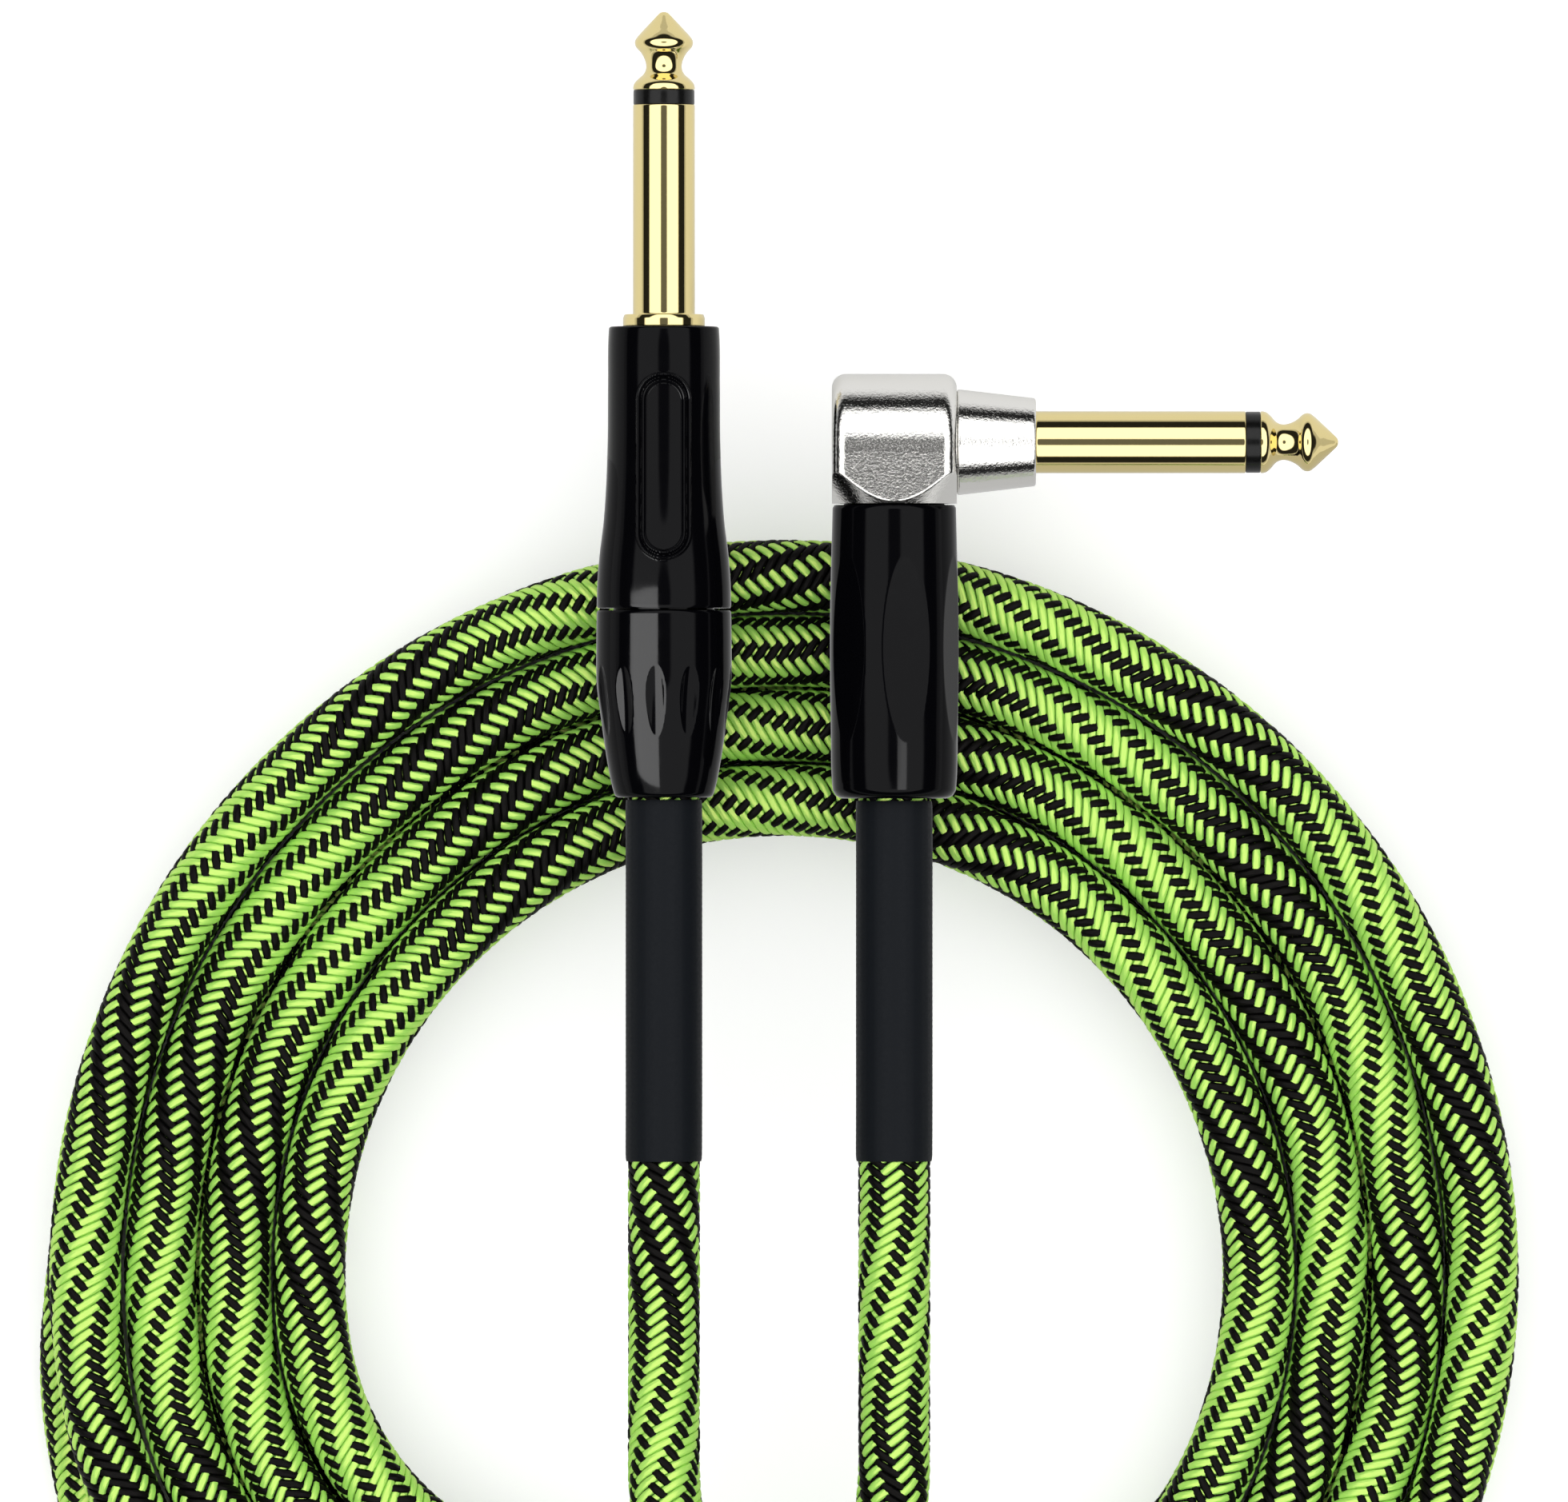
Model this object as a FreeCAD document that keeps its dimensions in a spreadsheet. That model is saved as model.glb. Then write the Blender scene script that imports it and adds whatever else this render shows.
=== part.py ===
# Instrument cable: a coiled braided guitar lead with a straight and a right-angle 6.35 mm plug.
#
# Millimetres, +Z up.  The cable lies coiled on a surface at Z = 0.  The straight plug lies across the
# coil and points along +Y, and the right-angle plug lies beside it with its finger along +X.
# The origin is the middle of the whole outline, on the surface.
#
# Both plugs are laid out from the apex of the tip, along the plug's axis towards the cable.  The
# barrel of the right-angle plug is laid out from the axis of its finger, towards the cable.

import FreeCAD
import Part
import Sketcher

import math
import os

SIZES = {
    # The whole object
    "overall_length": 205.2,
    "coil_outer_radius": 75.6,
    "coil_inner_radius": 45.0,
    "coil_height": 14.9,
    "cable_radius": 3.7,
    "cutter_overrun": 1.0,
    # Where the two plugs lie
    "straight_axis_x": -12.3,
    "straight_axis_height": 22.2,
    "angled_axis_x": 11.3,
    "angled_axis_height": 21.9,
    "angled_finger_y": 58.5,
    "angled_tip_x": 56.8,
    "heatshrink_end_y": -15.2,
    # The 6.35 mm finger, the same on both plugs
    "plug_radius": 3.175,
    "finger_length": 31.0,
    "tip_length": 8.0,
    "tip_apex_radius": 0.6,
    "bulge_start": 3.0,
    "bulge_end": 3.4,
    "bulge_radius": 3.0,
    "neck_start": 5.45,
    "neck_end": 5.75,
    "neck_radius": 1.85,
    "flare_end": 7.75,
    "ring_width": 1.5,
    "rod_radius": 1.2,
    "insulator_radius": 2.2,
    "stem_radius": 3.5,
    # The terminals behind the finger
    "lug_thickness": 0.5,
    "ground_tongue_width": 2.4,
    "ground_tongue_length": 9.0,
    "ground_tongue_offset": 3.4,
    "tip_lug_radius": 2.6,
    "tip_tongue_width": 2.0,
    "washer_radius": 3.0,
    "rivet_radius": 1.6,
    "rivet_height": 0.6,
    "rivet_clearance": 0.2,
    "tongue_clearance": 0.1,
    # The stripped end of the cable
    "conductor_radius": 0.5,
    "core_radius": 1.5,
    "shield_tail_radius": 0.7,
    "heatshrink_radius": 3.9,
    "heatshrink_gap": 0.25,
    # The M11 x 1 threads of the bushing and the barrel, and the chucks that they close
    "thread_length": 4.0,
    "thread_bore_depth": 4.3,
    "angled_thread_length": 2.4,
    "angled_thread_depth": 2.55,
    "thread_radius": 5.45,
    "thread_bore_radius": 5.5,
    "chuck_radius": 4.5,
    "chuck_end_radius": 4.1,
    "chuck_bore_radius": 3.75,
    "chuck_slot_width": 0.8,
    "chuck_slot_length": 9.0,
    "chuck_cone_length": 6.0,
    "closer_bore_radius": 4.6,
    "closer_end_bore_radius": 4.2,
    # The straight plug, along its axis
    "collar_radius": 4.2,
    "collar_width": 1.25,
    "straight_stem": 8.0,
    "ground_lug_radius": 4.4,
    "straight_washer": 1.2,
    "shell_front_radius": 5.2,
    "shell_edge": 0.5,
    "shell_slim_radius": 5.75,
    "shell_slim_length": 13.0,
    "shell_waist_radius": 6.1,
    "shell_waist_length": 18.6,
    "shell_flare_radius": 6.64,
    "shell_flare_length": 23.9,
    "shell_back_radius": 6.88,
    "shell_length": 28.85,
    "shell_bore_radius": 5.0,
    "liner_radius": 4.6,
    "liner_length": 11.5,
    "seam": 0.25,
    "bushing_radius": 6.9,
    "bushing_length": 19.15,
    "bushing_land": 8.0,
    "bushing_taper_radius": 5.85,
    "bushing_taper": 15.4,
    "bushing_end_radius": 5.1,
    "bushing_edge": 0.7,
    "straight_jacket_start": 50.0,
    "straight_core_start": 45.5,
    "straight_conductor_start": 42.6,
    "straight_chuck_start": 52.5,
    "straight_chuck_length": 17.5,
    "scallop_count": 12,
    "scallop_turn": -7.0,
    "scallop_place": 12.9,
    "scallop_half_length": 9.5,
    "scallop_half_depth": 2.05,
    "scallop_centre_radius": 8.25,
    # The right-angle plug
    "nose_length": 8.1,
    "nose_front_radius": 4.5,
    "nose_back_radius": 5.45,
    "elbow_width": 12.8,
    "elbow_half_depth": 7.0,
    "elbow_drop": 6.3,
    "elbow_wall": 2.5,
    "elbow_round": 1.4,
    "elbow_cone_radius": 6.6,
    "elbow_cone_top_radius": 10.6,
    "elbow_cone_height": 5.5,
    "elbow_cavity_half": 3.6,
    "elbow_cavity_reach": 4.0,
    "angled_washer": 2.4,
    "angled_ground_lug_radius": 3.3,
    "angled_conductor_start": 3.0,
    "angled_tail_start": 6.0,
    "angled_tip_tongue_end": 8.5,
    "angled_core_start": 9.5,
    "angled_ground_tongue_end": 11.0,
    "angled_jacket_start": 12.0,
    "angled_chuck_start": 13.5,
    "angled_chuck_length": 14.5,
    "barrel_seam": 0.15,
    "barrel_end": 36.5,
    "barrel_front_radius": 6.31,
    "barrel_middle_radius": 6.6,
    "barrel_middle": 14.5,
    "barrel_back_radius": 6.35,
    "barrel_edge": 0.8,
    "barrel_end_radius": 5.3,
    "flat_count": 6,
    "flat_depth": 0.47,
    "flat_curve": 134.0,
    "flat_turn": 10.8,
}

# The cable's way from the heat-shrink of each plug onto the coil.  Each rests across the coil's near
# side and then sinks into it.  The straight plug's end crosses over the other one.
STRAIGHT_END_ROUTE = [
    (-12.3, -15.2, 22.2),
    (-12.3, -35.0, 22.2),
    (-12.3, -57.2, 26.3),
    (2.1, -77.0, 27.2),
    (25.3, -85.0, 24.4),
    (46.9, -78.8, 17.8),
    (60.5, -62.8, 9.5),
]
ANGLED_END_ROUTE = [
    (11.3, -15.2, 21.9),
    (11.3, -35.0, 21.9),
    (11.3, -57.2, 19.4),
    (-3.1, -77.0, 18.8),
    (-26.3, -85.0, 18.8),
    (-47.9, -78.8, 15.2),
    (-61.5, -62.8, 8.5),
]
ARC_SHARE = 0.45

ALONG_X = FreeCAD.Rotation()
TO_STRAIGHT_CABLE = FreeCAD.Rotation(FreeCAD.Vector(0, 0, 1), -90)
TO_ANGLED_BODY = FreeCAD.Rotation(FreeCAD.Vector(0, 0, 1), 180)
UPRIGHT = FreeCAD.Rotation(FreeCAD.Vector(0, 1, 0), -90)

doc = FreeCAD.newDocument("instrument_cable")
nodes = []


# ---------------------------------------------------------------- the sheet and its expressions

def make_sheet():
    """The driving dimensions, one to a row, each with its name as the alias."""
    made = doc.addObject("Spreadsheet::Sheet", "Sizes")
    for row, (name, number) in enumerate(SIZES.items(), start=1):
        made.set(f"A{row}", name)
        made.set(f"B{row}", str(number))
        made.setAlias(f"B{row}", name)
    doc.recompute()
    return made


sheet = make_sheet()


def bound(text):
    """A sum of sizes such as "seam + tip_length", as an expression on the sheet."""
    words = [word if word in ("+", "-") else f"Sizes.{word}" for word in text.split()]
    return " ".join(words)


def number(text):
    """The value of the same sum."""
    total = 0.0
    sign = 1
    for word in text.split():
        if word in ("+", "-"):
            sign = 1 if word == "+" else -1
        else:
            total += sign * sheet.get(word)
    return total


def bind(thing, **sums):
    """Bind plain properties, such as Radius, to sums of sizes."""
    for name, text in sums.items():
        thing.setExpression(name, text)


def place(thing, turn, x, y, z):
    """Turn a piece and bind where its own origin stands."""
    thing.Placement = FreeCAD.Placement(FreeCAD.Vector(), turn)
    for axis, text in (("x", x), ("y", y), ("z", z)):
        thing.setExpression(f"Placement.Base.{axis}", text)


# The origins of the three lay-outs, and of the coil
STRAIGHT_TIP = (
    "Sizes.straight_axis_x",
    "Sizes.overall_length / 2",
    "Sizes.straight_axis_height",
)
ANGLED_TIP = ("Sizes.angled_tip_x", "Sizes.angled_finger_y", "Sizes.angled_axis_height")
ANGLED_CORNER = ("Sizes.angled_axis_x", "Sizes.angled_finger_y", "Sizes.angled_axis_height")
COIL_CENTRE = ("0", "Sizes.coil_outer_radius - Sizes.overall_length / 2", "0")


def keep(thing, label):
    """Name a finished sub-part and put it on the list of files."""
    thing.Label = label
    nodes.append(thing)
    return thing


# ---------------------------------------------------------------- turned pieces

def origin_plane(body, role):
    for feature in body.Origin.OriginFeatures:
        if feature.Role == role:
            return feature
    raise ValueError(role)


def turned(name, outline, turn, origin):
    """A body turned about its own X axis.

    The outline is a closed list of (distance along the axis, radius), each a sum of sizes or "0".
    """
    body = doc.addObject("PartDesign::Body", name)
    sketch = body.newObject("Sketcher::SketchObject", name + "_outline")
    sketch.AttachmentSupport = [(origin_plane(body, "XY_Plane"), "")]
    sketch.MapMode = "FlatFace"
    corners = [
        FreeCAD.Vector(0 if along == "0" else number(along), 0 if out == "0" else number(out), 0)
        for along, out in outline
    ]
    count = len(corners)
    for i in range(count):
        sketch.addGeometry(Part.LineSegment(corners[i], corners[(i + 1) % count]), False)
    for i in range(count):
        sketch.addConstraint(Sketcher.Constraint("Coincident", i, 2, (i + 1) % count, 1))
    for i, (along, out) in enumerate(outline):
        hold_corner(sketch, i, along, "DistanceX", corners[i].x, -2)
        hold_corner(sketch, i, out, "DistanceY", corners[i].y, -1)
    turning = body.newObject("PartDesign::Revolution", name + "_turned")
    turning.Profile = sketch
    turning.ReferenceAxis = (sketch, ["H_Axis"])
    turning.Angle = 360.0
    place(body, turn, *origin)
    return body


def hold_corner(sketch, i, text, kind, value, axis):
    """Hold one coordinate of a corner: on the axis where it is 0, or else bound to the sheet."""
    if text == "0":
        sketch.addConstraint(Sketcher.Constraint("PointOnObject", i, 1, axis))
        return
    index = sketch.addConstraint(Sketcher.Constraint(kind, -1, 1, i, 1, value))
    sketch.setExpression(f"Constraints[{index}]", bound(text))


def ring(name, start, end, bore, radius, turn, origin):
    """A turned tube between two stations, or a solid bar where the bore is "0"."""
    outline = [(start, bore), (start, radius), (end, radius), (end, bore)]
    return turned(name, outline, turn, origin)


# ---------------------------------------------------------------- plain solids and their booleans

def cylinder(name, radius, height, turn, x, y, z):
    made = doc.addObject("Part::Cylinder", name)
    bind(made, Radius=radius, Height=height)
    place(made, turn, x, y, z)
    return made


def block(name, length, width, height, turn, x, y, z):
    made = doc.addObject("Part::Box", name)
    bind(made, Length=length, Width=width, Height=height)
    place(made, turn, x, y, z)
    return made


def fused(name, pieces):
    made = doc.addObject("Part::MultiFuse", name)
    made.Shapes = pieces
    made.Refine = True
    return made


def cut(name, base, tool):
    made = doc.addObject("Part::Cut", name)
    made.Base = base
    made.Tool = tool
    return made


def common(name, pieces):
    made = doc.addObject("Part::MultiCommon", name)
    made.Shapes = pieces
    return made


# ---------------------------------------------------------------- the finger of a plug

def make_finger(side, stem, washer, turn, origin):
    """The tip with its rod, and the insulator, as far back as the terminals that they hold."""
    stem_end = f"finger_length + {stem}"
    tube_end = f"{stem_end} + lug_thickness + {washer}"
    rivet_start = f"{tube_end} + lug_thickness"
    tip = turned(
        f"{side}_tip",
        [
            ("0", "0"),
            ("0", "tip_apex_radius"),
            ("bulge_start", "bulge_radius"),
            ("bulge_end", "bulge_radius"),
            ("neck_start", "neck_radius"),
            ("neck_end", "neck_radius"),
            ("flare_end", "plug_radius"),
            ("tip_length", "plug_radius"),
            ("tip_length", "rod_radius"),
            (rivet_start, "rod_radius"),
            (rivet_start, "rivet_radius"),
            (f"{rivet_start} + rivet_height", "rivet_radius"),
            (f"{rivet_start} + rivet_height", "0"),
        ],
        turn,
        origin,
    )
    insulator = turned(
        f"{side}_tip_insulator",
        [
            ("tip_length", "rod_radius"),
            ("tip_length", "plug_radius"),
            ("tip_length + ring_width", "plug_radius"),
            ("tip_length + ring_width", "insulator_radius"),
            (tube_end, "insulator_radius"),
            (tube_end, "rod_radius"),
        ],
        turn,
        origin,
    )
    spacer = ring(
        f"{side}_lug_washer",
        f"{stem_end} + lug_thickness",
        tube_end,
        "insulator_radius",
        "washer_radius",
        turn,
        origin,
    )
    keep(tip, f"{side}_tip")
    keep(insulator, f"{side}_tip_insulator")
    keep(spacer, f"{side}_lug_washer")


def make_sleeve(side, stem, shoulder, shoulder_radius, turn, origin):
    """The long contact, with the shoulder and the stem that the plug's body holds."""
    front = "tip_length + ring_width"
    sleeve = turned(
        f"{side}_sleeve",
        [
            (front, "insulator_radius"),
            (front, "plug_radius"),
            ("finger_length", "plug_radius"),
            ("finger_length", shoulder_radius),
            (f"finger_length + {shoulder}", shoulder_radius),
            (f"finger_length + {shoulder}", "stem_radius"),
            (f"finger_length + {stem}", "stem_radius"),
            (f"finger_length + {stem}", "insulator_radius"),
        ],
        turn,
        origin,
    )
    keep(sleeve, f"{side}_sleeve")


# ---------------------------------------------------------------- the straight plug

def make_straight_shell():
    start = "finger_length + collar_width"
    back = f"{start} + shell_length"
    shell = turned(
        "straight_shell",
        [
            (start, "stem_radius"),
            (start, "shell_front_radius"),
            (f"{start} + shell_edge", "shell_slim_radius"),
            (f"{start} + shell_slim_length", "shell_slim_radius"),
            (f"{start} + shell_waist_length", "shell_waist_radius"),
            (f"{start} + shell_flare_length", "shell_flare_radius"),
            (back, "shell_back_radius"),
            (back, "thread_bore_radius"),
            (f"{back} - thread_bore_depth", "thread_bore_radius"),
            (f"{back} - thread_bore_depth", "shell_bore_radius"),
            ("finger_length + straight_stem", "shell_bore_radius"),
            ("finger_length + straight_stem", "stem_radius"),
        ],
        TO_STRAIGHT_CABLE,
        STRAIGHT_TIP,
    )
    keep(shell, "straight_shell")
    liner = ring(
        "straight_liner",
        "finger_length + straight_stem + seam",
        "finger_length + straight_stem + seam + liner_length",
        "liner_radius",
        "shell_bore_radius",
        TO_STRAIGHT_CABLE,
        STRAIGHT_TIP,
    )
    keep(liner, "straight_liner")


def make_straight_lugs():
    """The two solder lugs, each a ring on the finger's end with a tongue towards the cable."""
    axis_x, tip_y, axis_z = STRAIGHT_TIP
    stem_end = f"({bound('finger_length + straight_stem')})"
    ground_ring = ring(
        "straight_ground_ring",
        "finger_length + straight_stem",
        "finger_length + straight_stem + lug_thickness",
        "insulator_radius",
        "ground_lug_radius",
        TO_STRAIGHT_CABLE,
        STRAIGHT_TIP,
    )
    ground_tongue = block(
        "straight_ground_tongue",
        "Sizes.ground_tongue_length",
        "Sizes.ground_tongue_width",
        "Sizes.lug_thickness",
        TO_STRAIGHT_CABLE,
        f"{axis_x} - Sizes.ground_tongue_width / 2",
        f"{tip_y} - {stem_end}",
        f"{axis_z} - Sizes.ground_tongue_offset - Sizes.lug_thickness",
    )
    keep(fused("straight_ground_lug", [ground_ring, ground_tongue]), "straight_ground_lug")

    lug_start = "finger_length + straight_stem + lug_thickness + straight_washer"
    lug_end = f"{lug_start} + lug_thickness"
    tip_ring = ring(
        "straight_tip_ring",
        lug_start,
        lug_end,
        "rod_radius",
        "tip_lug_radius",
        TO_STRAIGHT_CABLE,
        STRAIGHT_TIP,
    )
    back = f"({bound(lug_end)})"
    clear = "(Sizes.rivet_height + Sizes.rivet_clearance)"
    inner = "Sizes.conductor_radius"
    outer = "(Sizes.rivet_radius + Sizes.tongue_clearance)"
    step = block(
        "straight_tip_step",
        f"{clear} + Sizes.lug_thickness",
        "Sizes.tip_tongue_width",
        "Sizes.lug_thickness",
        TO_STRAIGHT_CABLE,
        f"{axis_x} - Sizes.tip_tongue_width / 2",
        f"{tip_y} - {back}",
        f"{axis_z} + {outer}",
    )
    riser = block(
        "straight_tip_riser",
        "Sizes.lug_thickness",
        "Sizes.tip_tongue_width",
        f"{outer} - {inner} + Sizes.lug_thickness",
        TO_STRAIGHT_CABLE,
        f"{axis_x} - Sizes.tip_tongue_width / 2",
        f"{tip_y} - {back} - {clear}",
        f"{axis_z} + {inner}",
    )
    tongue = block(
        "straight_tip_tongue",
        "Sizes.tip_lug_radius",
        "Sizes.tip_tongue_width",
        "Sizes.lug_thickness",
        TO_STRAIGHT_CABLE,
        f"{axis_x} - Sizes.tip_tongue_width / 2",
        f"{tip_y} - {back} - {clear}",
        f"{axis_z} + {inner}",
    )
    keep(fused("straight_tip_lug", [tip_ring, step, riser, tongue]), "straight_tip_lug")


def make_straight_bushing():
    """The rear bushing, with its thread, the cone that closes the chuck, and the grip scallops."""
    front = "finger_length + collar_width + shell_length"
    body = f"{front} + seam"
    end = f"{body} + bushing_length"
    cone = "straight_chuck_start + straight_chuck_length"
    turned_bushing = turned(
        "straight_bushing_blank",
        [
            (f"{front} - thread_length", "closer_bore_radius"),
            (f"{front} - thread_length", "thread_radius"),
            (body, "thread_radius"),
            (body, "bushing_radius"),
            (f"{body} + bushing_land", "bushing_radius"),
            (f"{body} + bushing_taper", "bushing_taper_radius"),
            (f"{end} - bushing_edge", "bushing_end_radius"),
            (end, "bushing_end_radius - bushing_edge"),
            (end, "closer_end_bore_radius"),
            (cone, "closer_end_bore_radius"),
            (f"{cone} - chuck_cone_length", "closer_bore_radius"),
        ],
        TO_STRAIGHT_CABLE,
        STRAIGHT_TIP,
    )
    scallops = cutters_around(
        "scallop",
        make_scallop,
        STRAIGHT_TIP,
        f"({bound(body)} + Sizes.scallop_place)",
        "Sizes.scallop_centre_radius",
        sheet.get("scallop_turn"),
    )
    keep(cut("straight_bushing", turned_bushing, scallops), "straight_bushing")


def cutters_around(name, make_cutter, origin, along, reach, first_turn):
    """Cutters set around an axis that runs along -Y, each with its centre at the same reach."""
    axis_x, start_y, axis_z = origin
    count = int(sheet.get(f"{name}_count"))
    cutters = []
    for i in range(count):
        around = first_turn + 360.0 * i / count
        sine = f"{math.sin(math.radians(around)):.9f}"
        cosine = f"{math.cos(math.radians(around)):.9f}"
        cutter = make_cutter(f"{name}_{i + 1}")
        place(
            cutter,
            FreeCAD.Rotation(FreeCAD.Vector(0, 1, 0), around),
            f"{axis_x} + {reach} * {sine}",
            f"{start_y} - {along}",
            f"{axis_z} + {reach} * {cosine}",
        )
        cutters.append(cutter)
    tool = doc.addObject("Part::Compound", f"{name}s")
    tool.Links = cutters
    return tool


def make_scallop(name):
    """A slim ellipsoid, longest along the axis, that cuts a lens-shaped hollow."""
    scallop = doc.addObject("Part::Ellipsoid", name)
    bind(
        scallop,
        Radius1="Sizes.scallop_half_depth",
        Radius2="Sizes.scallop_half_depth",
        Radius3="Sizes.scallop_half_length",
    )
    return scallop


def make_flat(name):
    """A large cylinder lying across the axis, which cuts a long oval flat.

    The compound's own origin is on the cylinder's surface, so it is placed by that point.
    """
    side = doc.addObject("Part::Cylinder", f"{name}_curve")
    bind(side, Radius="Sizes.flat_curve", Height="2 * Sizes.barrel_middle_radius")
    level = FreeCAD.Rotation(FreeCAD.Vector(0, 1, 0), 90)
    place(side, level, "-Sizes.barrel_middle_radius", "0", "Sizes.flat_curve")
    holder = doc.addObject("Part::Compound", name)
    holder.Links = [side]
    return holder


def make_chuck(side, start, length, turn, origin):
    """The slotted collet that grips the jacket when the bushing or barrel is screwed home."""
    end = f"{start} + {length}"
    blank = turned(
        f"{side}_chuck_blank",
        [
            (start, "chuck_bore_radius"),
            (start, "chuck_radius"),
            (f"{end} - chuck_cone_length", "chuck_radius"),
            (end, "chuck_end_radius"),
            (end, "chuck_bore_radius"),
        ],
        turn,
        origin,
    )
    axis_x, start_y, axis_z = origin
    slot_y = f"{start_y} - ({bound(end)}) + Sizes.chuck_slot_length"
    upright_slot = block(
        f"{side}_chuck_slot_upright",
        "Sizes.chuck_slot_length + Sizes.cutter_overrun",
        "Sizes.chuck_slot_width",
        "4 * Sizes.chuck_radius",
        turn,
        f"{axis_x} - Sizes.chuck_slot_width / 2",
        slot_y,
        f"{axis_z} - 2 * Sizes.chuck_radius",
    )
    level_slot = block(
        f"{side}_chuck_slot_level",
        "Sizes.chuck_slot_length + Sizes.cutter_overrun",
        "4 * Sizes.chuck_radius",
        "Sizes.chuck_slot_width",
        turn,
        f"{axis_x} - 2 * Sizes.chuck_radius",
        slot_y,
        f"{axis_z} - Sizes.chuck_slot_width / 2",
    )
    slots = fused(f"{side}_chuck_slots", [upright_slot, level_slot])
    keep(cut(f"{side}_chuck", blank, slots), f"{side}_chuck")


def make_cable_end(side, starts, tail_length, tail_side, turn, origin):
    """The stripped end inside a plug: jacket, core, conductor and the twisted shield."""
    jacket, core, conductor, tail = starts
    axis_x, start_y, axis_z = origin
    jacket_length = f"{start_y} - Sizes.heatshrink_end_y"
    jacket_end = cylinder(
        f"{side}_jacket",
        "Sizes.cable_radius",
        f"{jacket_length} - Sizes.{jacket}",
        FreeCAD.Rotation(FreeCAD.Vector(1, 0, 0), 90),
        axis_x,
        f"{start_y} - Sizes.{jacket}",
        axis_z,
    )
    keep(jacket_end, f"{side}_jacket_end")
    insulation = ring(
        f"{side}_core", core, jacket, "conductor_radius", "core_radius", turn, origin
    )
    keep(insulation, f"{side}_core_insulation")
    wire = ring(f"{side}_wire", conductor, jacket, "0", "conductor_radius", turn, origin)
    keep(wire, f"{side}_conductor")
    offset = "(Sizes.ground_tongue_offset - Sizes.shield_tail_radius)"
    side_x, side_z = tail_side
    shield = cylinder(
        f"{side}_tail",
        "Sizes.shield_tail_radius",
        tail_length,
        FreeCAD.Rotation(FreeCAD.Vector(1, 0, 0), 90),
        f"{axis_x} + {side_x} * {offset}",
        f"{start_y} - {tail}",
        f"{axis_z} + {side_z} * {offset}",
    )
    keep(shield, f"{side}_shield_tail")


def make_heatshrink(side, start, origin):
    """The shrunk sleeve behind a plug, down to the end of the straight stretch of cable."""
    axis_x, start_y, axis_z = origin
    gap = "Sizes.heatshrink_gap"
    length = f"{start_y} - Sizes.heatshrink_end_y - {start} - {gap}"
    across = FreeCAD.Rotation(FreeCAD.Vector(1, 0, 0), 90)
    front_y = f"{start_y} - {start} - {gap}"
    skin = cylinder(
        f"{side}_shrink_skin",
        "Sizes.heatshrink_radius",
        length,
        across,
        axis_x,
        front_y,
        axis_z,
    )
    core = cylinder(
        f"{side}_shrink_core", "Sizes.cable_radius", length, across, axis_x, front_y, axis_z
    )
    keep(cut(f"{side}_heatshrink", skin, core), f"{side}_heatshrink")


def make_straight_plug():
    make_finger("straight", "straight_stem", "straight_washer", TO_STRAIGHT_CABLE, STRAIGHT_TIP)
    make_sleeve(
        "straight",
        "straight_stem",
        "collar_width",
        "collar_radius",
        TO_STRAIGHT_CABLE,
        STRAIGHT_TIP,
    )
    make_straight_lugs()
    make_straight_shell()
    make_straight_bushing()
    make_chuck(
        "straight",
        "straight_chuck_start",
        "straight_chuck_length",
        TO_STRAIGHT_CABLE,
        STRAIGHT_TIP,
    )
    make_cable_end(
        "straight",
        (
            "straight_jacket_start",
            "straight_core_start",
            "straight_conductor_start",
            "Sizes.straight_conductor_start",
        ),
        "Sizes.straight_jacket_start - Sizes.straight_conductor_start",
        (0, -1),
        TO_STRAIGHT_CABLE,
        STRAIGHT_TIP,
    )
    end = "finger_length + collar_width + shell_length + seam + bushing_length"
    make_heatshrink("straight", f"({bound(end)})", STRAIGHT_TIP)


# ---------------------------------------------------------------- the right-angle plug

def make_nose():
    nose = turned(
        "angled_nose",
        [
            ("finger_length", "stem_radius"),
            ("finger_length", "nose_front_radius"),
            ("finger_length + nose_length", "nose_back_radius"),
            ("finger_length + nose_length", "stem_radius"),
        ],
        TO_ANGLED_BODY,
        ANGLED_TIP,
    )
    keep(nose, "angled_nose")


def make_angled_sleeve():
    front = "tip_length + ring_width"
    stem_end = "finger_length + nose_length + elbow_wall"
    sleeve = turned(
        "angled_sleeve",
        [
            (front, "insulator_radius"),
            (front, "plug_radius"),
            ("finger_length", "plug_radius"),
            ("finger_length", "stem_radius"),
            (stem_end, "stem_radius"),
            (stem_end, "insulator_radius"),
        ],
        TO_ANGLED_BODY,
        ANGLED_TIP,
    )
    keep(sleeve, "angled_sleeve")


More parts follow.
